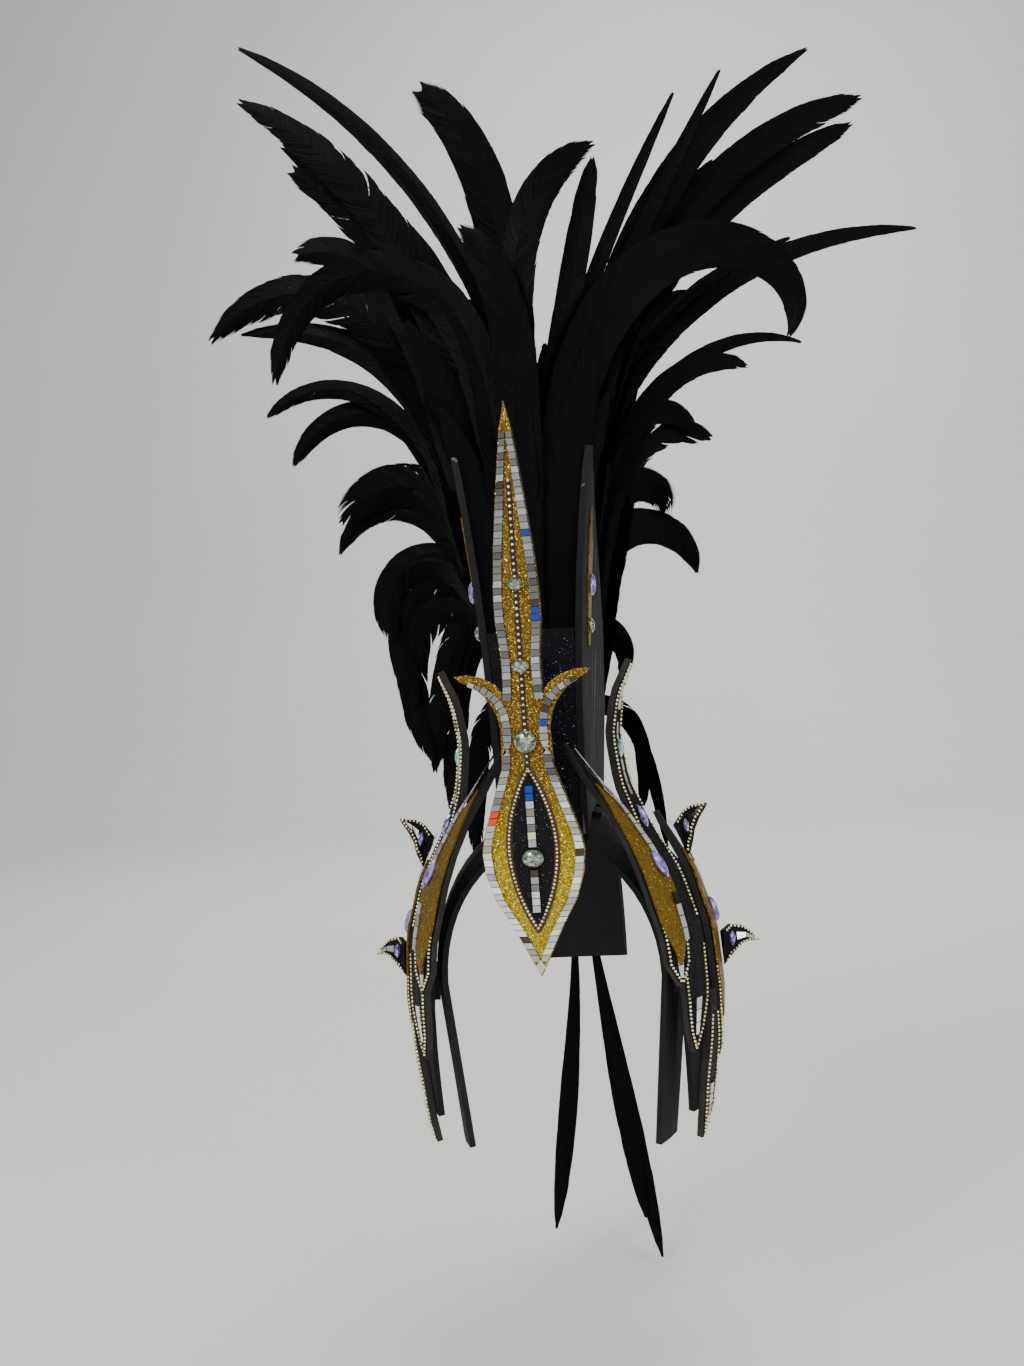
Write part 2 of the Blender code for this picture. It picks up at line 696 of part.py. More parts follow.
def wing_row(side, entry, across, extra=0.0):
    """Points across one row of a side piece, from its front edge to its back edge."""
    half = FLAME_WIDTH / 2 * entry["half"]
    facing = math.sqrt(max(0.04, 1 - entry["back"] ** 2))
    points = []
    for share in across:
        y = entry["back"] * WING_HALF_LENGTH + share * half * facing
        points.append(wing_point(side, entry["rise"], y, entry["off"] + extra,
                                 entry["shift"]))
    return points


def named(table, columns=PIECE_COLUMNS):
    return [dict(zip(columns, row)) for row in table]


def drawn(table):
    """A side piece's rows, redrawn at the stations that every side piece shares."""
    first, last = table[0]["rise"], table[-1]["rise"]
    rises = [first]
    for station in range(WING_STATIONS + 1):
        rise = station / WING_STATIONS
        if first + 0.25 / WING_STATIONS < rise < last - 0.25 / WING_STATIONS:
            rises.append(rise)
    rises.append(last)
    rows = []
    for rise in rises:
        row = {key: read_rows(table, "rise", key, rise) for key in PIECE_COLUMNS}
        rows.append(row)
    return rows


def wing_sheet(name, side, table, thickness, kind, extra=0.0, columns=3):
    across = [lerp(-1.0, 1.0, c / (columns - 1)) for c in range(columns)]
    rows = [wing_row(side, entry, across, extra) for entry in drawn(table)]
    return sheet(name, rows, thickness, kind, flip=side < 0)


def narrowed(table, first, last, share):
    """Rows of a table from first to last, narrowed and pinched to a point at each end."""
    picked = [dict(row) for row in table[first:last + 1]]
    for index, row in enumerate(picked):
        end = index in (0, len(picked) - 1)
        row["half"] = row["half"] * (0.08 if end else share)
    return picked


def cut_rows(table, low, high):
    """The stretch of a side piece between two shares of the wing's rise."""
    inner = [row for row in table if low < row["rise"] < high]
    ends = []
    for rise in (low, high):
        ends.append({key: read_rows(table, "rise", key, rise) for key in PIECE_COLUMNS})
    return [ends[0]] + inner + [ends[1]]


def edge_chain(name, side, table, tip_last, extra):
    """A strand just inside the edge of a side piece, up to its tip and down again."""
    front = []
    back = []
    for entry in drawn(table):
        half = FLAME_WIDTH / 2 * entry["half"]
        share = max(0.0, 1 - CHAIN_INSET / max(half, CHAIN_INSET))
        low, high = wing_row(side, entry, (-share, share), extra)
        front.append(low)
        back.append(high)
    if not tip_last:
        front.reverse()
        back.reverse()
    while (front[-1] - back[-1]).length < 2.5 * CHAIN_WIDTH:
        front.pop()
        back.pop()
    tip = (front[-1] + back[-1]) / 2
    tip += (front[-1] - front[-2] + back[-1] - back[-2]) / 4
    route = front + [tip] + list(reversed(back))
    return tube(name, route, CHAIN_WIDTH, "chain_metal")


def marquise(name, side, table, rise, across_share, length, width, extra):
    """A boat shaped cut stone lying on a side piece, its long axis upright."""
    rows = []
    for level in (rise, rise + 0.05):
        rows.append({key: read_rows(table, "rise", key, level) for key in PIECE_COLUMNS})
    centre = wing_row(side, rows[0], (across_share,), extra)[0]
    out = (wing_row(side, rows[0], (across_share,), extra + 1.0)[0] - centre).normalized()
    up = (wing_row(side, rows[1], (across_share,), extra)[0] - centre).normalized()
    across = up.cross(out).normalized()
    out = across.cross(up).normalized()
    sides = 10
    rings = []
    for level, share in ((0.0, 1.0), (0.45, 1.0), (1.0, 0.52)):
        ring = []
        for corner in range(sides):
            turn = 2 * math.pi * corner / sides
            point = centre + up * (math.cos(turn) * length / 2 * share)
            point += across * (math.sin(turn) * width / 2 * share)
            ring.append(point + out * (GAP + level * STONE_THICKNESS))
        rings.append(ring)
    kind = "opal_stone" if name.startswith("opal") else "lilac_stone"
    return loft(name, rings, kind)


def fin(name, side, table, clear):
    """A horn that stands out from the rear flame, its face turned to the front."""
    seat = 2.06 * LAYER + GOLD_THICKNESS + clear
    steps = (-1.0, -0.5, 0.0, 0.5, 1.0)
    rows = []
    for entry in named(table, FIN_COLUMNS):
        y = entry["back"] * WING_HALF_LENGTH
        rise = entry["rise"]
        half = FLAME_WIDTH / 2 * entry["half"]
        if entry["reach"] == 0:
            step = half / WING_RISE
            row = [wing_point(side, rise + s * step, y, seat / LAYER) for s in steps]
        else:
            centre = wing_point(side, rise, y, seat / LAYER)
            centre.x += side * FIN_REACH * entry["reach"]
            turn = math.radians(entry["turn"])
            width = Vector((-side * math.sin(turn), FIN_TWIST, math.cos(turn))).normalized()
            row = [centre + width * (half * s) for s in steps]
        rows.append(row)
    return sheet(name, rows, FIN_FOAM, "black_glitter", flip=side > 0)


def wing_pad(name, side):
    """The foam block that holds a side panel off the head band, at the band's widest."""
    rings = []
    for z in (PAD_HEIGHT / 2 - CROWN_RISE, -PAD_HEIGHT / 2 - CROWN_RISE):
        rise = 1 - (WING_TOP - z) / WING_RISE
        ring = []
        for y in (PAD_FRONT, PAD_FRONT + PAD_LENGTH):
            band = HOLLOW_HALF_WIDTH * band_narrowing(y)
            panel = abs(wing_point(side, rise, y, 0.0).x)
            corners = [(side * (band + GAP), y, z), (side * (panel - GAP), y, z)]
            ring += corners if y == PAD_FRONT else reversed(corners)
        rings.append([Vector(corner) for corner in ring])
    return loft(name, rings, "black_foam")


def make_wing(name, side):
    """All the layered pieces of one side."""
    wing_pad(f"wing_pad_{name}", side)
    tall, front, rear = named(TALL_FLAME), named(FRONT_FLAME), named(REAR_FLAME)
    cheek = named(CHEEK_LOBE)
    wing_sheet(f"side_panel_{name}", side, named(SIDE_PANEL), FOAM, "black_foam", columns=7)
    wing_sheet(f"tall_flame_{name}", side, tall, FOAM, "black_glitter")
    wing_sheet(f"front_flame_{name}", side, front, FOAM, "black_glitter")
    wing_sheet(f"rear_flame_{name}", side, rear, FOAM, "black_glitter")
    wing_sheet(f"cheek_lobe_{name}", side, cheek, FOAM, "black_glitter")
    over = 1.0 + GAP / LAYER
    wing_sheet(f"front_gold_{name}", side, narrowed(front, 1, 6, 0.86), GOLD_THICKNESS,
               "gold_glitter", over)
    wing_sheet(f"rear_gold_{name}", side, narrowed(rear, 1, 5, 0.80), GOLD_THICKNESS,
               "gold_glitter", over)
    fin(f"upper_fin_{name}", side, UPPER_FIN, 5 * GAP)
    fin(f"lower_fin_{name}", side, LOWER_FIN, 3 * GAP)
    chain_off = over + CHAIN_WIDTH / 2 / LAYER
    edge_chain(f"tall_chain_{name}", side, cut_rows(tall, 0.63, 1.0), True, chain_off)
    edge_chain(f"cheek_chain_{name}", side, cut_rows(cheek, 0.0, 0.18), False, chain_off)
    gold_top = over + (GOLD_THICKNESS + GAP) / LAYER
    marquise(f"front_stone_{name}", side, front, 0.575, 0.45, MARQUISE_LENGTH,
             MARQUISE_LENGTH * 0.35, gold_top)
    marquise(f"rear_stone_{name}", side, rear, 0.45, 0.40, MARQUISE_LENGTH * 0.85,
             MARQUISE_LENGTH * 0.30, gold_top)
    marquise(f"tall_stone_{name}", side, tall, 0.67, 0.0, MARQUISE_LENGTH * 0.78,
             MARQUISE_LENGTH * 0.26, over)
    marquise(f"opal_stone_{name}", side, tall, 0.815, 0.0, MARQUISE_LENGTH * 0.6,
             MARQUISE_LENGTH * 0.20, over)


def crest_y(row):
    share = row / (len(FEATHER_ROWS) - 1)
    return lerp(CREST_FRONT, CREST_BACK, share)


def bend_share(t, sharp, at):
    """How much of its curl a feather has taken up at a share t of its length."""
    if t <= 0:
        return 0.0
    return t ** sharp * (1 + at ** sharp) / (t ** sharp + at ** sharp)


def feather_line(side, y, entry, steps):
    """Centre line of a feather and its slant at each point, from root to tip."""
    root_grow = FOAM + GAP + CORE_HEIGHT * 0.45
    x = side * CORE_HALF_WIDTH * 0.62
    z = crown_z(0, y, root_grow)
    length = PLUME_REACH * entry["reach"]
    line = []
    fine = 6
    for step in range(steps * fine + 1):
        t = step / (steps * fine)
        slant = entry["lean"] + entry["curl"] * bend_share(t, entry["sharp"], entry["at"])
        angle = math.radians(slant)
        line.append((t, x, z, angle))
        x += side * math.sin(angle) * length / (steps * fine)
        z += math.cos(angle) * length / (steps * fine)
    return line


def feather(name, y, entry):
    side = entry["side"]
    line = feather_line(side, y, entry, 20)
    rows = []
    for station in VANE_ROWS:
        t, x, z, angle = line[round(station["along"] * (len(line) - 1))]
        half = VANE_WIDTH / 2 * entry["width"] * station["half"]
        half = max(half, FEATHER_THICKNESS * 0.5)
        across = Vector((side * math.cos(angle), 0, -math.sin(angle)))
        centre = Vector((x, y, z))
        pair = [centre - across * half, centre + across * half]
        for point in pair:
            point.y += FEATHER_SWEEP * max(0.0, abs(point.x) - CORE_HALF_WIDTH)
        rows.append(pair)
    return sheet(name, rows, FEATHER_THICKNESS, "feather", flip=side < 0)


def loft(name, rings, kind):
    """A closed body through rings of as many points each, capped at both ends."""
    around = len(rings[0])
    points = [p for ring in rings for p in ring]
    faces = [tuple(range(around))]
    for r in range(len(rings) - 1):
        for c in range(around):
            a = r * around + c
            b = r * around + (c + 1) % around
            faces.append((a, b, b + around, a + around))
    faces.append(tuple(range(len(points) - around, len(points))))
    return outward(add_mesh(name, points, faces, kind))


def core_piece(name, side, start_y, end_y):
    """A length of the foam core on the strap, on one side of the midline."""
    base = FOAM + GAP
    steps = 5
    rings = []
    for step in range(steps + 1):
        y = lerp(start_y, end_y, step / steps)
        ring = []
        for x, grow in ((GAP, base), (CORE_HALF_WIDTH, base),
                        (CORE_HALF_WIDTH, base + CORE_HEIGHT), (GAP, base + CORE_HEIGHT)):
            ring.append((side * x, y, crown_z(x, y, grow)))
        rings.append(ring)
    return loft(name, rings, "black_foam")


def make_plumes():
    pitch = (CREST_BACK - CREST_FRONT) / (len(FEATHER_ROWS) - 1)
    for group, (first, last) in CORE_GROUPS.items():
        start = crest_y(first) - pitch / 2 + GAP / 2
        end = crest_y(last) + pitch / 2 - GAP / 2
        for name, side in (("left", -1), ("right", 1)):
            core = core_piece(f"plume_{group}_{name}", side, start, end)
            blades = []
            for row in range(first, last + 1):
                entry = dict(zip(FEATHER_COLUMNS, FEATHER_ROWS[row]))
                if entry["side"] == side:
                    blades.append(as_mesh(feather(f"blade_{row}", crest_y(row), entry)))
            fuse(core, blades)


def nape_feather(name, entry):
    """A slim feather that lies down the back of the neck."""
    start = crown_arch(0, math.radians(entry["start"]), FOAM + GAP + CORE_HEIGHT * 0.5)
    rows = []
    steps = 8
    for step in range(steps + 1):
        t = step / steps
        x = entry["side"] * (CORE_HALF_WIDTH * 0.6 + entry["out"] * NAPE_REACH * t ** 1.4)
        y = start.y + NAPE_BOW * math.sin(math.pi * t) - NAPE_TUCK * t * t
        z = start.z - NAPE_REACH * entry["reach"] * t
        half = VANE_WIDTH / 2 * entry["width"] * max(0.16, math.sin(math.pi * t) ** 0.5)
        if step == steps:
            half = FEATHER_THICKNESS * 0.5
        rows.append([Vector((x - half, y, z)), Vector((x + half, y, z))])
    return sheet(name, rows, FEATHER_THICKNESS, "feather", flip=True)


def make_nape():
    """The end of the core, from the last crest feathers down to the nape."""
    inner = FOAM + GAP
    outer = inner + CORE_HEIGHT
    pitch = (CREST_BACK - CREST_FRONT) / (len(FEATHER_ROWS) - 1)
    edge = CREST_BACK + pitch / 2 + GAP / 2
    end = math.radians(STRAP_END_ANGLE - 4)
    steps = 6
    rings = []
    for step in range(steps + 1):
        low = lerp(ridge_angle(edge, inner), end, step / steps)
        high = lerp(ridge_angle(edge, outer), end, step / steps)
        under = [crown_arch(share * CORE_HALF_WIDTH, low, inner) for share in (-1, 0, 1)]
        above = [crown_arch(share * CORE_HALF_WIDTH, high, outer) for share in (1, 0, -1)]
        ring = under + above
        if step == 0:
            for point in ring:
                point.y = edge
        rings.append(ring)
    core = loft("plume_nape", rings, "black_foam")
    blades = [as_mesh(nape_feather(f"nape_{i}", entry)) for i, entry in enumerate(NAPE_ROWS)]
    fuse(core, blades)


clear_scene()
headdress = new_collection("feathered_headdress")
make_band()
make_strap()
make_boards()
make_front_panel()
make_plate()
make_plate_trim()
make_plate_chain()
make_round_stones()
make_wing("left", -1)
make_wing("right", 1)
make_plumes()
make_nape()
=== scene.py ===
"""The looks of the feathered headdress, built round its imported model.

Metres, +Z up, -Y out through the front plate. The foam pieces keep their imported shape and
get a finish; feathers, tiles, chains and cut stones are modelled here piece by piece.
"""
import math

import bmesh
import bpy
import numpy as np
from bpy.props import FloatProperty, FloatVectorProperty, IntProperty, PointerProperty
from bpy.types import Operator, Panel, PropertyGroup
from mathutils import Matrix, Vector


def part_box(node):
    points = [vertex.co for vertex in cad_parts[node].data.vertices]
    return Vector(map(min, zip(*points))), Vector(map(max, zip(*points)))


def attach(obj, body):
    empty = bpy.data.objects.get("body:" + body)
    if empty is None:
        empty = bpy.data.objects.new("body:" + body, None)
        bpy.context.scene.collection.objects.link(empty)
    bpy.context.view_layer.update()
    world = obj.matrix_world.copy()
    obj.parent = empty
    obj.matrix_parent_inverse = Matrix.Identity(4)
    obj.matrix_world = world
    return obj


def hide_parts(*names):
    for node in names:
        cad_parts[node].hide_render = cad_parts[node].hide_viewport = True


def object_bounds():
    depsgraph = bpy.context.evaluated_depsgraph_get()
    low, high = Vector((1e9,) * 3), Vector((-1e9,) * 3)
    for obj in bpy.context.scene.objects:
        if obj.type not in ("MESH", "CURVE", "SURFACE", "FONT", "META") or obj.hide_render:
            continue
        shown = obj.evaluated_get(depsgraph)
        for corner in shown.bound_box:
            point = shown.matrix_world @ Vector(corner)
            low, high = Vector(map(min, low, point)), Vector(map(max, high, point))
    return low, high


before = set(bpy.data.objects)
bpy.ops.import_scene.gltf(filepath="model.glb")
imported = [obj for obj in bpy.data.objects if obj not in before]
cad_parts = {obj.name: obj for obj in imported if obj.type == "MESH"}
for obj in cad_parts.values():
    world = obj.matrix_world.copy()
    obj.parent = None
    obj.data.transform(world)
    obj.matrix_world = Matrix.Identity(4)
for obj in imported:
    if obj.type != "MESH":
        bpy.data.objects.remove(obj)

bl_info = {
    "name": "Feathered headdress",
    "version": (1, 0, 0),
    "blender": (4, 5, 0),
    "location": "3D View > Sidebar > Headdress",
    "description": "Dresses the packed headdress with feathers, mirror tiles, chains and stones",
    "category": "Object",
}

CAD_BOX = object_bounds()
SIDES = (("left", -1), ("right", 1))

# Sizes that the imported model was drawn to.
HOLLOW_HALF_WIDTH = 0.085
HOLLOW_HALF_LENGTH = 0.108
CROWN_RISE = 0.106
HEAD_SHIFT = 0.004
FOAM = 0.004
GAP = 0.0004
LAYER = FOAM + GAP
BOARD_HEIGHT = 0.245
BOARD_FOOT = -0.010
BOARD_DEPTH = 0.105
BOARD_SPACING = 0.049
BOARD_SPLAY = 0.0155
BOARD_OPENING = 0.018
BOARD_FRONT = -0.050
BOARD_FOAM = 0.0045
PLATE_FACE = -0.100
PLATE_HEIGHT = 0.3505
PLATE_HALF_WIDTH = 0.0315
PLATE_BOTTOM = -0.094
BARB_REACH = 0.042
INSET_HALF_WIDTH = 0.0125
INSET_TOP = 0.030
INSET_BOTTOM = -0.062
INSET_THICKNESS = 0.0010
WING_HALF_WIDTH = 0.0965
WING_HALF_LENGTH = 0.085
WING_RISE = 0.310
WING_TOP = 0.096
WING_STATIONS = 34
FLAME_WIDTH = 0.026
FIN_FOAM = 0.003
FIN_TWIST = 0.35
FIN_REACH = 0.029
GOLD_THICKNESS = 0.0014
CORE_HEIGHT = 0.016
CORE_HALF_WIDTH = 0.009
CREST_FRONT = -0.042
CREST_BACK = 0.106
PLUME_REACH = 0.620
VANE_WIDTH = 0.036
FEATHER_SWEEP = 0.25
NAPE_REACH = 0.270
NAPE_BOW = 0.012
NAPE_TUCK = 0.020

# Half outline of the plate, from its foot up: rise and half width as shares.
PLATE_ROWS = (
    (0.000, 0.000), (0.088, 0.490), (0.134, 0.790), (0.180, 0.955), (0.217, 1.000),
    (0.245, 0.950), (0.300, 0.750), (0.365, 0.510), (0.425, 0.463), (0.462, 0.430),
    (0.512, 0.385), (0.556, 0.385), (0.619, 0.455), (0.664, 0.455), (0.738, 0.400),
    (0.813, 0.311), (0.902, 0.194), (0.948, 0.124), (1.000, 0.000),
)
# Middle line of the lower tiles where they leave the edge and run out along a barb: rise
# of the plate and share of the barb's reach.
BARB_LINE = ((0.400, 0.276), (0.425, 0.264), (0.451, 0.278), (0.471, 0.335), (0.490, 0.445),
             (0.502, 0.585), (0.513, 0.800))
LOWER_TILES = (0.027, 0.385)
UPPER_TILES = (0.480, 0.945)
# Tiles with a painted reflection of something coloured or dark: height and painted reflection, for
# the strips on each side and down the teardrop.
PAINTED_COLOUR_REFLECTIONS = {
    -1: ((0.0069, "red"), (0.0009, "red"), (-0.0727, "dark")),
    1: ((0.1746, "blue"), (0.1279, "blue"), (0.1225, "blue"), (0.0596, "blue"),
        (0.0698, "dark"), (-0.0692, "pale"), (-0.0800, "cream")),
    0: ((0.0202, "blue"), (0.0152, "blue"), (-0.0059, "cream"), (-0.0306, "dark")),
}
# How far out the side of the wing stands at each share of its rise.
WING_PROFILE = (
    (0.00, 0.885), (0.06, 0.930), (0.20, 0.985), (0.30, 1.000), (0.43, 0.975), (0.55, 0.860),
    (0.65, 0.690), (0.745, 0.560), (0.845, 0.515), (0.93, 0.560), (1.00, 0.660),
)
# Side pieces: rise, back and half, as shares. The front flame's rows have off and shift too,
# which are FLAME_OFF and 0 on every row of the others.
FLAME_OFF = {"tall": 1.06, "rear": 1.06, "cheek": 1.0}
TALL_FLAME = (
    (0.190, -0.54, 0.06), (0.240, -0.52, 0.55), (0.310, -0.49, 0.85), (0.430, -0.48, 0.92),
    (0.550, -0.49, 0.88), (0.650, -0.51, 0.72), (0.745, -0.53, 0.62), (0.845, -0.54, 0.56),
    (0.930, -0.53, 0.42), (1.000, -0.50, 0.06),
)
FRONT_FLAME = (
    (0.335, -0.66, 0.06, 2.4, 0.00), (0.380, -0.66, 0.60, 2.4, 0.00),
    (0.450, -0.66, 0.68, 2.4, 0.00), (0.545, -0.67, 0.82, 2.4, 0.00),
    (0.625, -0.69, 0.66, 2.1, 0.00), (0.690, -0.71, 0.50, 1.8, -0.03),
    (0.750, -0.73, 0.34, 1.3, -0.09), (0.830, -0.75, 0.06, 0.5, -0.19),
)
REAR_FLAME = (
    (0.150, -0.10, 0.06), (0.230, -0.10, 0.50), (0.310, -0.10, 0.72), (0.410, -0.10, 0.80),
    (0.510, -0.10, 0.68), (0.590, -0.11, 0.46), (0.670, -0.13, 0.06),
)
CHEEK_LOBE = (
    (0.000, -0.36, 0.06), (0.050, -0.34, 0.50), (0.120, -0.31, 0.70), (0.200, -0.29, 0.62),
    (0.300, -0.29, 0.30),
)
# Fins: rise, reach, back, half and the slant of the row.
UPPER_FIN = (
    (0.608, 0.00, -0.10, 0.74, 0.0), (0.636, 0.33, -0.10, 0.80, 16.0),
    (0.653, 0.56, -0.10, 0.60, 2.0), (0.666, 0.78, -0.11, 0.33, -12.0),
    (0.680, 1.00, -0.11, 0.04, -20.0),
)
LOWER_FIN = (
    (0.370, 0.00, -0.02, 0.86, 0.0), (0.385, 0.20, 0.03, 0.75, 6.0),
    (0.390, 0.45, 0.07, 0.47, -4.0), (0.384, 0.65, 0.11, 0.23, -14.0),
    (0.375, 0.80, 0.14, 0.04, -20.0),
)
# Each fin's table and how far it stands off the gold.
FINS = ((UPPER_FIN, 5 * GAP), (LOWER_FIN, 3 * GAP))
# One row for each crest feather, front to back: side, lean, curl, sharp, at, reach, width and tip.
FEATHER_ROWS = (
    (-1, -2, 49, 7.0, 2.50, 0.63, 0.75, "round"), (1, 4, 215, 4.3, 2.50, 0.82, 1.00, "long"),
    (-1, 3, 169, 7.0, 0.84, 0.83, 0.75, "ragged"), (1, -2, 81, 7.0, 2.50, 0.73, 0.80, "round"),
    (-1, -1, 50, 7.0, 1.10, 0.80, 0.85, "blunt"), (1, -6, 19, 7.0, 0.30, 0.69, 0.50, "round"),
    (-1, 2, 56, 2.1, 2.50, 0.91, 0.75, "ragged"), (1, -15, 44, 1.4, 0.42, 0.79, 0.30, "long"),
    (1, -9, 39, 2.6, 0.32, 0.83, 0.32, "long"), (-1, -7, 64, 1.9, 1.20, 1.00, 0.40, "long"),
    (1, 5, 59, 2.5, 2.50, 0.90, 0.70, "long"), (-1, 7, 48, 2.9, 2.50, 0.80, 0.65, "blunt"),
    (1, 5, 74, 2.4, 2.50, 0.90, 0.72, "round"), (-1, 10, 56, 5.4, 2.25, 0.79, 0.60, "blunt"),
    (1, 9, 58, 4.7, 0.75, 0.86, 0.60, "round"), (-1, 6, 46, 4.6, 0.80, 0.85, 0.60, "ragged"),
    (1, 4, 89, 2.7, 0.92, 0.85, 0.45, "long"), (-1, 12, 99, 7.0, 2.25, 0.75, 0.70, "blunt"),
    (1, 9, 88, 7.0, 2.50, 0.61, 0.55, "ragged"), (-1, 12, 123, 5.4, 0.97, 0.84, 1.00, "ragged"),
    (1, 11, 110, 5.2, 2.50, 0.58, 0.50, "round"), (-1, 13, 77, 6.2, 0.80, 0.75, 0.60, "long"),
    (1, 8, 105, 3.3, 2.50, 0.66, 0.35, "long"), (-1, 15, 113, 5.8, 0.98, 0.68, 0.45, "round"),
    (1, 7, 179, 7.0, 2.50, 0.53, 0.60, "round"), (-1, 14, 139, 7.0, 0.90, 0.66, 0.55, "round"),
    (1, 9, 117, 7.0, 1.04, 0.51, 0.70, "ragged"), (-1, 13, 130, 7.0, 0.87, 0.54, 0.95, "round"),
    (1, 5, 230, 7.0, 1.80, 0.46, 0.80, "round"), (-1, 15, 143, 7.0, 0.87, 0.54, 0.80, "long"),
    (1, 5, 170, 7.0, 0.85, 0.46, 0.85, "long"), (-1, 15, 192, 7.0, 0.83, 0.49, 0.75, "round"),
    (1, -4, 213, 7.0, 0.79, 0.33, 0.60, "long"), (-1, 12, 192, 7.0, 0.69, 0.53, 0.75, "ragged"),
    (-1, 12, 188, 7.0, 0.61, 0.54, 0.75, "ragged"), (-1, -5, 178, 7.0, 0.54, 0.58, 0.60, "ragged"),
    (1, -6, 180, 6.0, 0.44, 0.37, 0.30, "long"), (-1, -5, 184, 7.0, 0.50, 0.60, 0.60, "ragged"),
    (1, -6, 196, 6.0, 0.55, 0.35, 0.35, "ragged"), (-1, -4, 181, 6.7, 0.48, 0.46, 0.50, "ragged"),
)
FEATHER_KEYS = ("side", "lean", "curl", "sharp", "at", "reach", "width", "tip")
PLUME_GROUPS = {"front": (0, 9), "top": (10, 20), "back": (21, 30), "low": (31, 39)}
# Half width along a feather for each kind of tip: share of its length, share of its half.
VANE_ROOT = ((0, 0.10), (0.14, 0.24), (0.28, 0.45), (0.42, 0.72))
VANE_FULL = VANE_ROOT + ((0.56, 0.95), (0.68, 1.0))
VANE_SHAPES = {
    "round": VANE_ROOT + ((0.56, 0.92), (0.68, 1.0), (0.80, 1.0), (0.88, 0.94), (0.94, 0.78),
                          (0.98, 0.50), (1.0, 0.10)),
    "long": VANE_FULL + ((0.79, 0.92), (0.89, 0.70), (0.96, 0.40), (1.0, 0.05)),
    "blunt": VANE_FULL + ((0.79, 0.98), (0.89, 0.90), (0.97, 0.75), (1.0, 0.30)),
    "ragged": VANE_FULL + ((0.79, 0.95), (0.89, 0.78), (0.96, 0.55), (1.0, 0.12)),
    "under": ((0, 0.35), (0.20, 0.80), (0.40, 1.0), (0.65, 0.95), (0.85, 0.65), (0.95, 0.35),
              (1.0, 0.05)),
}
RAGGEDNESS = {"round": 0.15, "long": 0.12, "blunt": 0.5, "ragged": 1.0, "under": 0.2}
# Places along a barb and its width at each, the quills' widths, and how a barb runs: sweep
# towards the tip, bend and cup.
BARB_STATIONS = np.array((0.0, 0.25, 0.5, 0.75, 1.0))
BARB_TAPER = np.array((1.0, 0.96, 0.85, 0.60, 0.10))
QUILL_WIDTH = 0.0020
SLIM_QUILL_WIDTH = 0.0016
BARB_SWEEP = 1.7
BARB_BEND = 1.8
VANE_CUP = 0.20
# Nape feathers: side, start in degrees down the crown, out, reach, width.
NAPE_ROWS = (
    (1, 76.0, 0.150, 1.00, 0.40), (1, 82.0, 0.110, 0.85, 0.40), (-1, 79.0, 0.100, 0.90, 0.40),
)
# The feathers of one nape bunch: length, drift outward in metres and width.
NAPE_COPIES = ((1.0, 0.0, 1.0), (0.86, 0.004, 0.8), (0.72, -0.003, 0.7))
# Round stones down the plate: rise, half width and half height in metres.
ROUND_STONES = (
    (0.680, 0.0043, 0.0043), (0.538, 0.0055, 0.0040), (0.408, 0.0068, 0.0066),
    (0.207, 0.0066, 0.0054),
)
# Marquise stones: name, flame, rise, share across, length, width, ground and colour.
MARQUISES = (
    ("front_stone", "front", 0.575, 0.45, 0.0200, 0.0070, "gold", "lilac"),
    ("rear_stone", "rear", 0.450, 0.40, 0.0170, 0.0060, "gold", "lilac"),
    ("tall_stone", "tall", 0.670, 0.0, 0.0156, 0.0052, "flame", "lilac"),
    ("opal_stone", "tall", 0.815, 0.0, 0.0120, 0.0040, "flame", "opal"),
)


# Sizes and colours that a user would change.


def size_property(name, description, value):
    return FloatProperty(name=name, description=description, default=value, unit="LENGTH")


def colour_property(name, description, value):
    return FloatVectorProperty(name=name, description=description, default=value,
                               subtype="COLOR", size=3)


class HeaddressSizes(PropertyGroup):
    barb_pitch: size_property("Barb pitch", "Distance between barbs along a quill", 0.0018)
    bead_pitch: size_property("Bead pitch", "Distance between the stones of a fine chain", 0.00255)
    bead_width: size_property("Bead width", "Width of one stone of a fine chain", 0.0020)
    stem_pitch: size_property("Stem pitch", "Distance between the stones of the plate's stem",
                              0.0039)
    tile_width: size_property("Tile width", "Width of a mirror tile on the plate", 0.0055)
    tile_pitch: size_property("Tile pitch", "Length of a mirror tile along its row", 0.0043)
    tile_thickness: size_property("Tile thickness", "Thickness of a mirror tile", 0.0010)
    fillers: IntProperty(
        name="Filler feathers", description="Shorter feathers laid along each crest feather",
        default=2, min=0, max=6)


class HeaddressColours(PropertyGroup):
    foam: colour_property("Foam", "Bare foam and its cut edges", (0.011, 0.011, 0.012))
    edge: colour_property("Flame foam", "Greyer foam of the flames, at their cut edges",
                          (0.030, 0.028, 0.027))
    glitter: colour_property("Black glitter", "Ground of the black glitter sheet",
                             (0.006, 0.006, 0.008))
    # On the plate, gold and amber are painted light over one gold glitter: gold is the foot
    # painted brighter, amber the part higher up painted darker.
    gold: colour_property("Gold", "Glitter sheet at the foot of the plate", (0.58, 0.41, 0.008))
    amber: colour_property("Amber", "Glitter sheet higher up and on the flames",
                           (0.21, 0.120, 0.006))
    bead: colour_property("Chain stone", "Stone of a fine chain", (0.84, 0.76, 0.40))
    crystal: colour_property("Clear stone", "Foil backed clear stone", (0.22, 0.29, 0.19))
    lilac: colour_property("Lilac stone", "Foil backed lilac stone", (0.30, 0.24, 0.62))
    opal: colour_property("Opal stone", "Foil backed green blue stone", (0.30, 0.60, 0.55))
    feather: colour_property("Feather", "Barbs of the crest", (0.0016, 0.0015, 0.0019))
    backdrop: colour_property("Backdrop", "Floor and backdrop", (0.80, 0.80, 0.785))


def sizes():
    return bpy.context.scene.headdress_sizes


def colours():
    return bpy.context.scene.headdress_colours


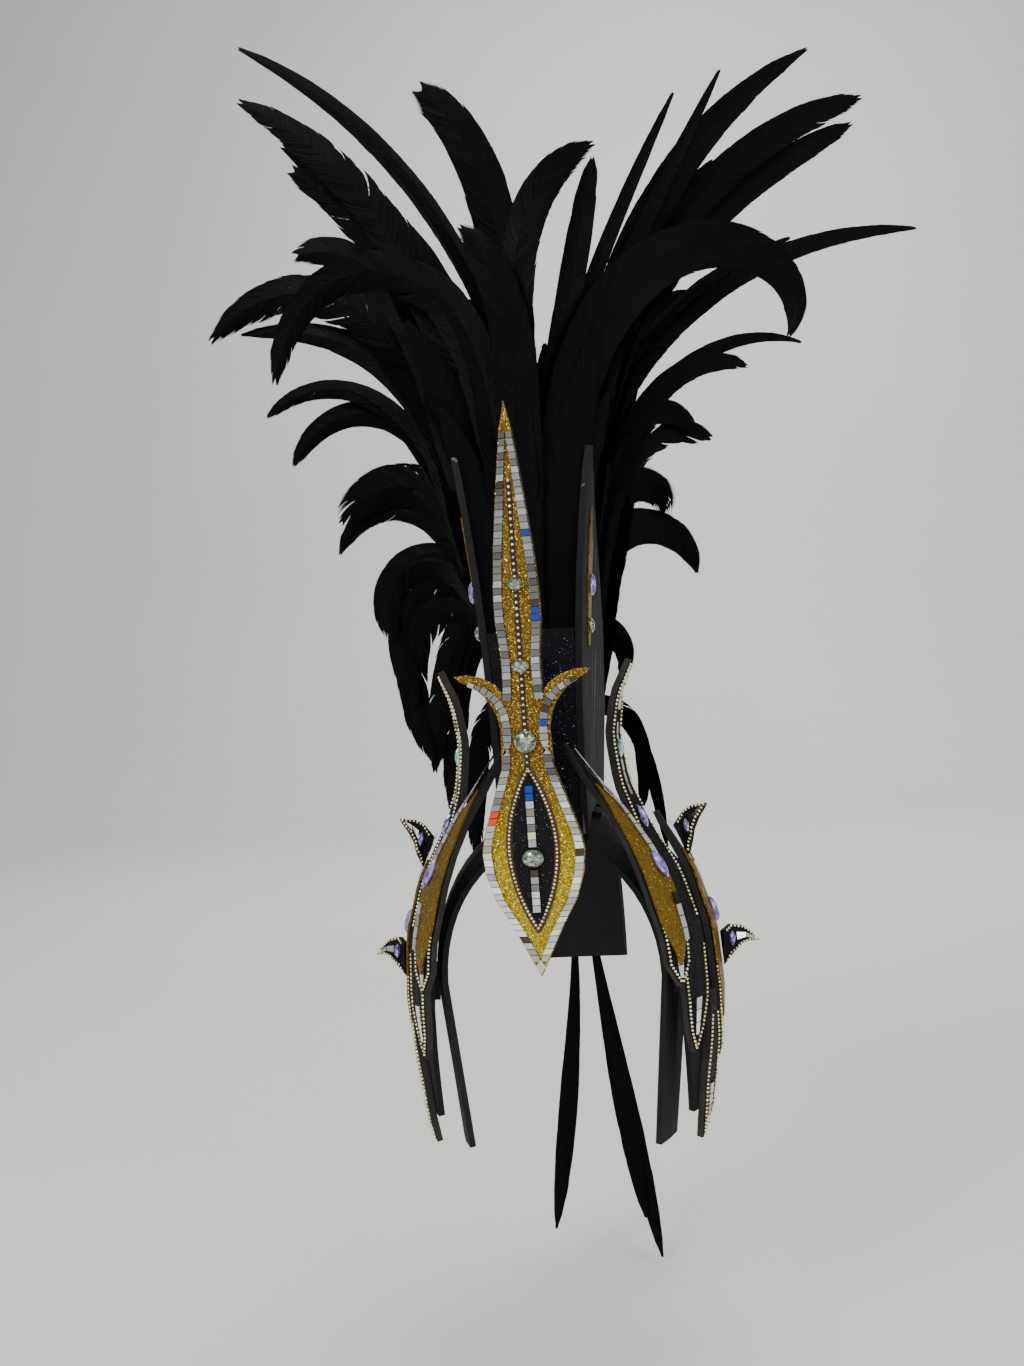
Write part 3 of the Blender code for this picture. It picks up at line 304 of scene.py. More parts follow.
# Finishes. Width of one flake of gold and of black glitter, and the black's share of sparks.
GOLD_FLAKE = 0.00060
BLACK_FLAKE = 0.00045
BLACK_SPARKS = 0.014


class Wire:
    """A socket of a material, which takes part in ordinary arithmetic."""

    def __init__(self, finish, source):
        self.finish = finish
        self.source = source

    def maths(self, operation, *values):
        inputs = {index: value for index, value in enumerate(values)}
        return self.finish.put("ShaderNodeMath", {"operation": operation}, inputs)

    def __add__(self, other):
        return self.maths("ADD", self, other)

    def __radd__(self, other):
        return self.maths("ADD", other, self)

    def __sub__(self, other):
        return self.maths("SUBTRACT", self, other)

    def __rsub__(self, other):
        return self.maths("SUBTRACT", other, self)

    def __mul__(self, other):
        return self.maths("MULTIPLY", self, other)

    def __rmul__(self, other):
        return self.maths("MULTIPLY", other, self)

    def above(self, edge):
        return self.maths("GREATER_THAN", self, edge)

    def below(self, edge):
        return self.maths("LESS_THAN", self, edge)

    def between(self, low, high):
        """0 under low, 1 over high, and straight between them."""
        return self.finish.put("ShaderNodeMapRange", {"clamp": True},
                               {0: self, 1: low, 2: high, 3: 0.0, 4: 1.0})


class Finish:
    """A material and its nodes."""

    def __init__(self, name, **constants):
        self.material = bpy.data.materials.new(name)
        self.material.use_nodes = True
        self.tree = self.material.node_tree
        self.shader = self.tree.nodes["Principled BSDF"]
        for socket, value in constants.items():
            self.shader.inputs[socket.replace("_", " ")].default_value = value

    def put(self, kind, settings=None, values=None, output=0):
        """Add a node, set it up, feed its sockets and give back one of its outputs."""
        node = self.tree.nodes.new(kind)
        for key, value in (settings or {}).items():
            if key == "stops":
                while len(node.color_ramp.elements) < len(value):
                    node.color_ramp.elements.new(0.5)
                for element, (place, colour) in zip(node.color_ramp.elements, value):
                    element.position = place
                    element.color = colour
            else:
                setattr(node, key, value)
        for key, value in (values or {}).items():
            self.feed(node.inputs[key], value)
        return Wire(self, node.outputs[output])

    def feed(self, socket, value):
        if isinstance(value, Wire):
            self.tree.links.new(value.source, socket)
        else:
            socket.default_value = value

    def drive(self, socket, value):
        self.feed(self.shader.inputs[socket], value)

    def place(self):
        return self.put("ShaderNodeTexCoord", output="Object")

    def scaled(self, factors):
        return self.put("ShaderNodeVectorMath", {"operation": "MULTIPLY"},
                        {0: self.place(), 1: factors})

    def axis(self, index):
        return self.put("ShaderNodeSeparateXYZ", None, {0: self.place()}, output=index)

    def noise(self, scale, detail=2.0, vector=None, output="Fac"):
        return self.put("ShaderNodeTexNoise", None,
                        {"Vector": vector or self.place(), "Scale": scale, "Detail": detail},
                        output=output)

    def mix(self, share, first, second, mode="MIX"):
        return self.put("ShaderNodeMix", {"data_type": "RGBA", "blend_type": mode},
                        {0: share, 6: first, 7: second}, output=2)

    def tint(self):
        return self.put("ShaderNodeAttribute", {"attribute_name": "tint"}, output="Color")

    def bump(self, height, strength, distance=0.0005):
        return self.put("ShaderNodeBump", None,
                        {"Height": height, "Strength": strength, "Distance": distance})

    def flakes(self, pitch):
        """Glitter: a random colour for each flake, and its first two parts as values."""
        cells = self.put("ShaderNodeTexVoronoi", {"feature": "F1"},
                         {"Vector": self.place(), "Scale": 1.0 / pitch, "Randomness": 1.0},
                         output="Color")
        parts = [self.put("ShaderNodeSeparateColor", None, {0: cells}, output=part)
                 for part in (0, 1)]
        return cells, *parts

    def tilted(self, cells, amount):
        """The surface's normal, leant a different way for each flake."""
        lean = self.put("ShaderNodeVectorMath", {"operation": "SUBTRACT"},
                        {0: cells, 1: (0.5, 0.5, 0.5)})
        lean = self.put("ShaderNodeVectorMath", {"operation": "SCALE"},
                        {0: lean, "Scale": amount})
        facing = self.put("ShaderNodeNewGeometry", output="Normal")
        lean = self.put("ShaderNodeVectorMath", {"operation": "ADD"}, {0: facing, 1: lean})
        return self.put("ShaderNodeVectorMath", {"operation": "NORMALIZE"}, {0: lean})


def rgba(colour, gain=1.0):
    return (colour[0] * gain, colour[1] * gain, colour[2] * gain, 1.0)


def foam_finish(name, colour, streaks=False):
    """Matt foam: fine pores, a slow change of tone and, on the boards, dried glue."""
    made = Finish(name, Specular_IOR_Level=0.2)
    tone = made.noise(60.0, 3.0).between(0.35, 0.7)
    ground = made.mix(tone, rgba(colour, 0.7), rgba(colour, 1.2))
    rough = 0.72 + tone * 0.14
    pores = made.noise(1500.0, 1.0)
    if streaks:
        drawn = made.noise(1.0, 2.0, made.scaled((90.0, 620.0, 5.0)))
        thread = drawn.between(0.63, 0.65) * (1.0 - drawn.between(0.67, 0.70))
        smear = made.noise(14.0, 2.0).between(0.40, 0.56)
        glue = thread * smear
        ground = made.mix(glue, ground, (0.14, 0.14, 0.14, 1.0))
        rough = rough - glue * 0.35
    made.drive("Base Color", ground)
    made.drive("Roughness", rough)
    made.drive("Normal", made.bump(pores, 0.35, 0.0004))
    return made.material


def black_glitter_finish(colour):
    """Black glitter sheet: few flakes of it catch the light."""
    made = Finish("black_glitter_sheet", Specular_IOR_Level=0.10)
    ground = rgba(colour)
    cells, pick, lift = made.flakes(BLACK_FLAKE)
    flakes = pick.above(1.0 - BLACK_SPARKS)
    glint = made.mix(lift, ground, (0.26, 0.24, 0.31, 1.0))
    made.drive("Base Color", made.mix(flakes, ground, glint))
    made.drive("Metallic", flakes * 0.85)
    made.drive("Roughness", 0.55 - flakes * 0.3)
    made.drive("Normal", made.tilted(cells, 0.7))
    return made.material


def gold_finish(name, low, high, sparks, edge_y=None):
    """Gold glitter over a cut foam edge, with painted light: painted brighter towards the foot of
    the plate, some flakes painted dark as painted shade and a share painted bright as painted
    glints.
    """
    made = Finish(name, Roughness=0.35)
    # Painted light: the low colour is painted at the foot, the high colour higher up, and the
    # painted glints change the same way.
    rise = made.axis(2).between(-0.030, 0.030)
    body = made.mix(rise, rgba(low), rgba(high))
    bright = made.mix(rise, (1.0, 0.86, 0.20, 1.0), (0.85, 0.55, 0.10, 1.0))
    cells, pick, lift = made.flakes(GOLD_FLAKE)
    # Painted shade: each flake is painted between this dark share of the colour and the colour
    # itself.
    painted_flake_shade = made.mix(rise, rgba(low, 0.22), rgba(high, 0.30))
    shade = made.mix(pick, painted_flake_shade, body)
    # Painted glints: a share of the flakes painted bright.
    spark = lift.above(1.0 - sparks)
    colour = made.mix(spark, shade, bright)
    metal = 0.60 + pick * 0.30
    rough = 0.44 - spark * 0.26
    if edge_y is not None:
        face = made.axis(1).below(edge_y)
        colour = made.mix(face, rgba(colours().foam), colour)
        metal = metal * face
        rough = rough * face + 0.75 * (1.0 - face)
    made.drive("Base Color", colour)
    made.drive("Metallic", metal)
    made.drive("Roughness", rough)
    made.drive("Normal", made.tilted(cells, 0.65))
    return made.material


def tinted_finish(name, metallic, roughness, coat=0.0, grain=0.0):
    """A finish whose colour is carried by the mesh, copy by copy."""
    made = Finish(name, Metallic=metallic, Roughness=roughness, Coat_Weight=coat)
    if grain:
        speck = made.noise(900.0, 2.0).between(0.40, 0.65)
        made.drive("Roughness", roughness + speck * grain)
    made.drive("Base Color", made.tint())
    return made.material


def feather_finish():
    """Barbs of a coque feather, with a cold sheen."""
    made = Finish("coque_feather", Specular_IOR_Level=0.06)
    drift = made.noise(22.0, 2.0).between(0.35, 0.70)
    sheen = made.mix(drift, (0.85, 0.80, 1.0, 1.0), (1.0, 1.05, 1.25, 1.0))
    made.drive("Base Color", made.mix(1.0, made.tint(), sheen, "MULTIPLY"))
    made.drive("Roughness", 0.44 + drift * 0.16)
    return made.material


def painted_shadow_ring_finish():
    """Painted shadow of the chain: dark brown, with a little gold in it."""
    made = Finish("painted_shadow_ring", Roughness=0.6)
    speck = made.noise(1400.0, 1.0).between(0.45, 0.75)
    made.drive("Base Color", made.mix(speck, (0.030, 0.010, 0.004, 1.0),
                                      (0.16, 0.070, 0.012, 1.0)))
    return made.material


def paint_finish(name, colour):
    """Matt paint with a faint change of tone."""
    made = Finish(name, Roughness=0.8)
    cloud = made.noise(1.4, 2.0).between(0.3, 0.7)
    made.drive("Base Color", made.mix(cloud, rgba(colour, 0.985), rgba(colour, 1.015)))
    return made.material


def shared_finish(name):
    """A finish that several pieces share, made when it is first asked for."""
    if name in bpy.data.materials:
        return bpy.data.materials[name]
    flame_amber = rgba(colours().amber, 1.5)[:3]
    makers = {
        "foam": lambda: foam_finish("foam", colours().foam),
        "flame_foam": lambda: foam_finish("flame_foam", colours().edge),
        "board_foam": lambda: foam_finish("board_foam", colours().foam, streaks=True),
        "black_glitter_sheet": lambda: black_glitter_finish(colours().glitter),
        "flame_gold": lambda: gold_finish("flame_gold", flame_amber, flame_amber, 0.015),
        "plate_gold": lambda: gold_finish("plate_gold", colours().gold, colours().amber,
                                          0.12, PLATE_FACE + 0.0002),
        "mirror_tiles": lambda: tinted_finish("mirror_tiles", 1.0, 0.10, 0.0, 0.06),
        "chain_stones": lambda: tinted_finish("chain_stones", 0.80, 0.22, 0.3),
        "cut_stones": lambda: tinted_finish("cut_stones", 0.55, 0.10, 1.0),
        "coque_feather": feather_finish,
        "painted_shadow_ring": painted_shadow_ring_finish,
    }
    return makers[name]()


# Meshes.


def deselect():
    bpy.ops.object.select_all(action="DESELECT")


def settle(piece, finish, replaces=(), smooth=False):
    """Give a finished piece its material, its body and the nodes it stands for."""
    piece.data.materials.clear()
    piece.data.materials.append(shared_finish(finish))
    if smooth:
        piece.data.shade_smooth()
    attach(piece, "root")
    if replaces:
        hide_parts(*replaces)


def linked(name, mesh, tints, counts):
    """An object on a finished mesh, with one tint for each face if given."""
    if tints is not None:
        layer = mesh.color_attributes.new("tint", "FLOAT_COLOR", "CORNER")
        spread = np.repeat(np.asarray(tints, dtype=float)[:, :3], counts, axis=0)
        spread = np.hstack([spread, np.ones((len(spread), 1))])
        layer.data.foreach_set("color", spread.ravel())
    piece = bpy.data.objects.new(name, mesh)
    bpy.context.scene.collection.objects.link(piece)
    return piece


def mesh_piece(name, points, faces, tints=None):
    """A mesh object from lists of points, faces and tints."""
    mesh = bpy.data.meshes.new(name)
    mesh.from_pydata([tuple(p) for p in points], [], [tuple(f) for f in faces])
    return linked(name, mesh, tints, [len(face) for face in faces])


def ribbon_faces(rows, columns=2, flip=False):
    """Faces between the rows of a grid of points."""
    faces = []
    for row in range(rows - 1):
        for column in range(columns - 1):
            a = columns * row + column
            quad = (a, a + 1, a + 1 + columns, a + columns)
            faces.append(quad[::-1] if flip else quad)
    return faces


def bar_faces(rows):
    """Faces of a closed bar whose sections have four points each."""
    faces = []
    for row in range(rows - 1):
        for corner in range(4):
            a, b = 4 * row + corner, 4 * row + (corner + 1) % 4
            faces.append((a, a + 4, b + 4, b))
    return faces + [(0, 1, 2, 3), tuple(4 * rows - 1 - corner for corner in range(4))]


def row_of(x, y, z):
    """Points from three coordinates, each a list or one value for all."""
    return np.stack(np.broadcast_arrays(x, y, z), axis=1)


def lengths_along(points):
    """Distance of each point from the first, along the line through them."""
    steps = np.linalg.norm(np.diff(points, axis=0), axis=1)
    return np.concatenate([[0.0], np.cumsum(steps)])


def values_at(marks, along, values):
    """Points or directions at some marks, from those given along a line."""
    return np.stack([np.interp(marks, along, values[:, k]) for k in range(3)], axis=-1)


def template(maker):
    """Points and faces of a shape that bpy.ops models once, for many copies."""
    deselect()
    maker()
    made = bpy.context.object
    points = np.array([tuple(v.co) for v in made.data.vertices])
    faces = [tuple(f.vertices) for f in made.data.polygons]
    mesh = made.data
    bpy.data.objects.remove(made, do_unlink=True)
    bpy.data.meshes.remove(mesh)
    return points, faces


def bead_shape():
    bpy.ops.mesh.primitive_uv_sphere_add(segments=8, ring_count=4, radius=0.5)


def stamp(name, shape, frames, tints):
    """Copies of one shape, each by its own frame and with its own tint, as one mesh."""
    points, faces = shape
    count = len(points)
    places = []
    loops = []
    shades = []
    for index, (frame_matrix, tint) in enumerate(zip(frames, tints)):
        turned = points @ frame_matrix[:3, :3].T + frame_matrix[:3, 3]
        places.append(turned)
        base = index * count
        loops += [tuple(base + v for v in face) for face in faces]
        shades += [tint] * len(faces)
    return mesh_piece(name, np.vstack(places), loops, shades)


def frame_at(place, across, up, out, size):
    """Matrix that puts a unit shape at a place, its Z turned to face out."""
    made = np.eye(4)
    made[:3] = np.stack([across * size, up * size, out * size, place], axis=1)
    return made


def unit(vector):
    vector = np.asarray(vector, dtype=float)
    return vector / max(1e-9, np.linalg.norm(vector))


def resampled(points, pitch, closed=False):
    """Evenly spaced points along a route, and the direction at each."""
    route = np.asarray(points, dtype=float)
    if closed:
        route = np.vstack([route, route[:1]])
    along = lengths_along(route)
    count = max(2, int(round(along[-1] / pitch)))
    marks = np.linspace(0, along[-1], count + 1)
    if closed:
        marks = marks[:-1]
    far, near = (values_at(np.clip(marks + step, 0, along[-1]), along, route)
                 for step in (pitch / 2, -pitch / 2))
    headings = far - near
    headings /= np.maximum(1e-9, np.linalg.norm(headings, axis=1))[:, None]
    return values_at(marks, along, route), headings


def bead_frames(route, outs, pitch, width, closed=False):
    """A frame for each stone along a route whose outward directions are given."""
    places, headings = resampled(route, pitch, closed)
    source = np.asarray(route, dtype=float)
    outs = np.asarray(outs, dtype=float)
    frames = []
    for place, heading in zip(places, headings):
        nearest = np.argmin(np.linalg.norm(source - place, axis=1))
        out = unit(outs[nearest] - heading * np.dot(outs[nearest], heading))
        across = np.cross(heading, out)
        frames.append(frame_at(place, across, heading, out, width))
    return frames


def bead_tints(rng, count, colour):
    """Stones of a chain: mostly the colour, a quarter painted paler as painted highlights, some
    painted darker as painted shade.
    """
    base = np.asarray(colour)
    tints = []
    for _ in range(count):
        roll = rng.random()
        if roll < 0.25:
            tints.append(np.clip(base * 1.25 + 0.12, 0, 0.95))
        elif roll < 0.40:
            tints.append(base * 0.55)
        else:
            tints.append(base * rng.uniform(0.85, 1.1))
    return tints


# Painted reflections: the tones that mirror tiles are painted in, for the room they would reflect.
PAINTED_REFLECTION_TONES = ((0.50, 0.51, 0.52), (0.34, 0.34, 0.34), (0.66, 0.68, 0.70), (0.22, 0.21, 0.20),
                (0.40, 0.39, 0.38), (0.90, 0.92, 0.95), (0.30, 0.29, 0.27), (0.56, 0.58, 0.61))
# Painted reflections of dark and of coloured things, for single tiles.
PAINTED_REFLECTION_COLOURS = {"dark": (0.07, 0.055, 0.045), "blue": (0.025, 0.070, 0.34),
             "red": (0.85, 0.080, 0.022), "cream": (0.80, 0.80, 0.52),
             "pale": (0.42, 0.62, 0.95)}


def painted_reflection_tone(rng, gain=1.0):
    """Painted reflection of one tile: its tone is painted a little lighter or darker for what it
    would reflect.
    """
    if rng.random() < 0.03:
        return PAINTED_REFLECTION_COLOURS["dark"]
    tone = np.asarray(PAINTED_REFLECTION_TONES[rng.integers(len(PAINTED_REFLECTION_TONES))])
    return np.clip(tone * gain * rng.uniform(0.9, 1.1), 0, 0.97)


def painted_reflection_gain(z):
    """Painted reflection: the tiles low on the plate are painted lighter for the pale floor, those
    above it darker for the dim room.
    """
    return float(np.interp(z, (-0.020, 0.030), (1.75, 0.50)))


class Tiles:
    """Separate mirror tiles, each a bevelled slab with its own tilt, and its tone a painted
    reflection.
    """

    def __init__(self, seed):
        self.points, self.faces, self.tints = [], [], []
        self.rng = np.random.default_rng(seed)

    def add(self, corners, out, thickness, tone, gap=0.00012, tilt=0.012):
        """A tile on four corners, running round it as seen from outside."""
        corners = np.asarray(corners, dtype=float)
        centre = corners.mean(axis=0)
        spans = corners - centre
        reach = np.maximum(1e-6, np.linalg.norm(spans, axis=1))[:, None]
        foot = centre + spans * (1 - np.minimum(0.45, gap / reach))
        top = centre + spans * (1 - np.minimum(0.5, (gap + 0.00022) / reach))
        lean = self.rng.normal(0, tilt, 2)
        edge = unit(corners[1] - corners[0])
        side = np.cross(out, edge)
        rise = thickness + (top - centre) @ (edge * lean[0] + side * lean[1])
        top = top + np.outer(rise, out)
        base = len(self.points)
        self.points += list(foot) + list(top)
        ring = [(0, 1, 5, 4), (1, 2, 6, 5), (2, 3, 7, 6), (3, 0, 4, 7), (4, 5, 6, 7),
                (3, 2, 1, 0)]
        self.faces += [tuple(base + v for v in face) for face in ring]
        # Painted reflection: the top carries the tone, the sides 0.6 of it and the underside 0.3.
        self.tints += [np.asarray(tone) * 0.6] * 4 + [tone] + [np.asarray(tone) * 0.3]

    def run(self, near, far, outs, pitch, thickness, painted_reflections=(), gain=None):
        """Tiles between two edges of a strip, given as matching lists of points."""
        near = np.asarray(near, dtype=float)
        far = np.asarray(far, dtype=float)
        outs = np.asarray(outs, dtype=float)
        middle = (near + far) / 2
        along = lengths_along(middle)
        count = max(1, int(round(along[-1] / pitch)))
        marks = np.linspace(0, along[-1], count + 1)
        for low, high in zip(marks, marks[1:]):
            corners = [values_at(mark, along, edge) for mark, edge in
                       ((low, near), (low, far), (high, far), (high, near))]
            out = unit(values_at((low + high) / 2, along, outs))
            turn = np.cross(corners[1] - corners[0], corners[2] - corners[1])
            if np.dot(turn, out) < 0:
                corners = corners[::-1]
            heights = sorted(np.interp((low, high), along, middle[:, 2]))
            # Painted reflection: scaled by height on the plate, and by 2.0 on the flames and fins.
            tone = painted_reflection_tone(self.rng, gain(sum(heights) / 2) if gain else 2.0)
            # A listed tile gets a coloured painted reflection instead.
            for height, name in painted_reflections:
                if heights[0] <= height < heights[1]:
                    tone = PAINTED_REFLECTION_COLOURS[name]
            self.add(corners, out, thickness, tone)

    def piece(self, name):
        return mesh_piece(name, self.points, self.faces, self.tints)


# Feathers.


def crown_z(x, y, grow=0.0):
    """Height of the crown over a place, grown outward by some of its foam."""
    across = x / (HOLLOW_HALF_WIDTH + grow)
    along = (y - HEAD_SHIFT) / (HOLLOW_HALF_LENGTH + grow)
    inside = max(0.0, 1 - across * across - along * along)
    return -CROWN_RISE + (CROWN_RISE + grow) * math.sqrt(inside)


def crown_arch(x, angle, grow=0.0):
    """Point over the crown at an angle back from its top."""
    narrow = math.sqrt(1 - (x / (HOLLOW_HALF_WIDTH + grow)) ** 2)
    y = HEAD_SHIFT + (HOLLOW_HALF_LENGTH + grow) * narrow * math.sin(angle)
    z = -CROWN_RISE + (CROWN_RISE + grow) * narrow * math.cos(angle)
    return np.array((x, y, z))


def crest_y(row):
    return CREST_FRONT + (CREST_BACK - CREST_FRONT) * row / (len(FEATHER_ROWS) - 1)


class Quill:
    """Middle line of a feather, with the directions along, across and out of its face."""

    def __init__(self, points, twist):
        self.points = np.asarray(points, dtype=float)
        along = lengths_along(self.points)
        self.length = along[-1]
        self.share = along / self.length
        heading = np.gradient(self.points, along, axis=0)
        heading /= np.linalg.norm(heading, axis=1)[:, None]
        front = np.array([0.0, -1.0, 0.0])
        across = np.cross(heading, front)
        across /= np.linalg.norm(across, axis=1)[:, None]
        out = np.cross(across, heading)
        turn = twist(self.share)[:, None]
        self.across = across * np.cos(turn) + out * np.sin(turn)
        self.out = out * np.cos(turn) - across * np.sin(turn)

    def at(self, share, values):
        return values_at(share, self.share, values)


def crest_quill(entry, y, lean=0.0, cut=1.0, twist=0.0, shift=0.0):
    """Quill of a crest feather, or of a shorter one that runs beside it."""
    side = entry["side"]
    fine = 120
    t = np.linspace(0, 1, fine + 1)
    sharp, at = entry["sharp"], entry["at"]
    bend = t ** sharp * (1 + at ** sharp) / (t ** sharp + at ** sharp)
    slant = np.radians(entry["lean"] + lean + entry["curl"] * bend)
    step = PLUME_REACH * entry["reach"] / fine
    out = np.concatenate([[0.0], np.cumsum(np.sin(slant))[:-1]]) * step
    up = np.concatenate([[0.0], np.cumsum(np.cos(slant))[:-1]]) * step
    x = side * (CORE_HALF_WIDTH * 0.62 + out)
    z = crown_z(0, y, FOAM + GAP + CORE_HEIGHT * 0.45) + up
    depth = y + shift + FEATHER_SWEEP * np.maximum(0, np.abs(x) - CORE_HALF_WIDTH)
    keep = max(12, int(round(cut * fine)) + 1)
    return Quill(row_of(x, depth, z)[:keep],
                 lambda share: twist * np.sin(share * math.pi * 0.9))


def between_boards(quill, barbs):
    """Barbs of a quill that stands between the crest boards, held inside the boards."""
    rise = np.clip((barbs[..., 2] - BOARD_FOOT) / BOARD_HEIGHT, 0, 1)
    back = (barbs[..., 1] - BOARD_FRONT) / BOARD_DEPTH
    inner = BOARD_SPACING / 2 + BOARD_SPLAY * rise ** 2 + BOARD_OPENING * back * rise - 0.001
    held = (barbs[..., 2] < BOARD_FOOT + BOARD_HEIGHT) & (back < 1)
    held = held & (np.abs(quill[..., 0]) < inner)
    barbs[..., 0] = np.where(held, np.clip(barbs[..., 0], -inner, inner), barbs[..., 0])
    return barbs


def clumped(rng, count, run, spread):
    """A value about 1 for each barb that stays the same over a short run of them."""
    return np.repeat(rng.normal(1.0, spread, count // run + 1), run)[:count]


class Plume:
    """Feathers gathered in one mesh: ribbons for the barbs and a tapered tube for a quill."""

    def __init__(self, seed):
        self.rng = np.random.default_rng(seed)
        self.points, self.faces, self.tints = [], [], []
        self.count = 0

    def strips(self, left, right, tint):
        """Ribbons whose two edges are arrays of shape (ribbons, stations, 3)."""
        ribbons, stations, _ = left.shape
        block = np.stack([left, right], axis=2).reshape(ribbons * stations * 2, 3)
        base = self.count + np.arange(ribbons)[:, None] * stations * 2
        for s in range(stations - 1):
            a = base[:, 0] + 2 * s
            quad = np.stack([a, a + 1, a + 3, a + 2], axis=1)
            self.faces.append(quad)
            self.tints.append(tint)
        self.points.append(block)
        self.count += len(block)

    def shaft(self, quill, thick, colour, stop=0.97):
        """The quill itself: a square tube that narrows to its tip."""
        sides = 4
        shares = np.linspace(0, stop, 22)
        centre = quill.at(shares, quill.points)
        across = quill.at(shares, quill.across)
        out = quill.at(shares, quill.out)
        radius = thick / 2 * (1 - 0.85 * shares)
        ring = []
        for corner in range(sides):
            turn = 2 * math.pi * corner / sides
            ring.append(centre + (across * math.cos(turn) + out * math.sin(turn))
                        * radius[:, None])
        ring = np.stack(ring, axis=1)
        block = ring.reshape(-1, 3)
        base = self.count
        rows = np.arange(len(shares) - 1)
        for corner in range(sides):
            follow = (corner + 1) % sides
            a = base + rows * sides + corner
            b = base + rows * sides + follow
            self.faces.append(np.stack([a, b, b + sides, a + sides], axis=1))
            self.tints.append(np.tile(colour, (len(rows), 1)))
        self.points.append(block)
        self.count += len(block)

    def vane(self, quill, half, shape, colour, pitch, start=0.04, splits=2):
        """Barbs down both sides of a quill, each bent till its end runs along the edge."""
        rng = self.rng
        rows = np.asarray(VANE_SHAPES[shape], dtype=float)
        rough = RAGGEDNESS[shape]
        count = max(14, int(quill.length / pitch))
        for side in (-1, 1):
            root = np.linspace(start, 0.985, count)
            sweep = (half * np.interp(root, rows[:, 0], rows[:, 1]) * BARB_SWEEP
                     + 0.004) / quill.length
            tip = np.minimum(root + sweep, 1.0)
            reach = half * np.interp(tip, rows[:, 0], rows[:, 1]) \
                * clumped(rng, count, 7, 0.008 + 0.045 * rough)
            torn = (tip > 0.55) & (rng.random(count) < 0.10 * rough)
            reach = np.where(torn, reach * rng.uniform(0.55, 0.9, count), reach)
            shift = np.zeros(count)
            for _ in range(rng.poisson(splits * (0.5 + rough))):
                place = rng.uniform(0.25, 0.97)
                gap = rng.uniform(0.0008, 0.0030) * (0.6 + 1.2 * rough) / quill.length
                away = tip - place
                shift += np.sign(away) * gap * np.exp(-np.abs(away) / rng.uniform(0.02, 0.05))
            share = root[:, None] + (tip - root)[:, None] * BARB_STATIONS
            share = np.clip(share + shift[:, None] * BARB_STATIONS ** 1.5, 0, 1)
            lateral = reach[:, None] * (1 - (1 - BARB_STATIONS) ** BARB_BEND)
            droop = 0.0004 - VANE_CUP * lateral * BARB_STATIONS
            droop = droop + rng.normal(0, 0.0003, count)[:, None] * BARB_STATIONS
            across = quill.at(share, quill.across)
            out = quill.at(share, quill.out)
            centre = quill.at(share, quill.points)
            barbs = centre + across * (side * lateral)[..., None] + out * droop[..., None]
            centre = between_boards(centre, barbs)
            course = np.gradient(centre, axis=1)
            beside = np.cross(out, course)
            beside /= np.maximum(1e-9, np.linalg.norm(beside, axis=2))[..., None]
            wide = quill.length / count * 0.62 * BARB_TAPER
            raised = rng.normal(0.00020, 0.00008, count)[:, None] * BARB_TAPER
            edge = beside * wide[None, :, None] + out * raised[..., None]
            lit = rng.normal(1.0, 0.10, count) * clumped(rng, count, 9, 0.10)
            tint = np.clip(lit, 0.45, 1.7)[:, None] * np.asarray(colour)[None, :]
            pair = (centre - edge, centre + edge)
            self.strips(*(pair if side > 0 else pair[::-1]), tint)

    def piece(self, name):
        points = np.vstack(self.points)
        faces = np.vstack(self.faces)
        tints = np.vstack(self.tints)
        mesh = bpy.data.meshes.new(name)
        mesh.vertices.add(len(points))
        mesh.vertices.foreach_set("co", points.ravel())
        mesh.loops.add(faces.size)
        mesh.loops.foreach_set("vertex_index", faces.ravel().astype(np.int32))
        mesh.polygons.add(len(faces))
        mesh.polygons.foreach_set("loop_start", np.arange(0, faces.size, 4, dtype=np.int32))
        mesh.update(calc_edges=True)
        piece = linked(name, mesh, tints, 4)
        mesh.validate()
        return piece


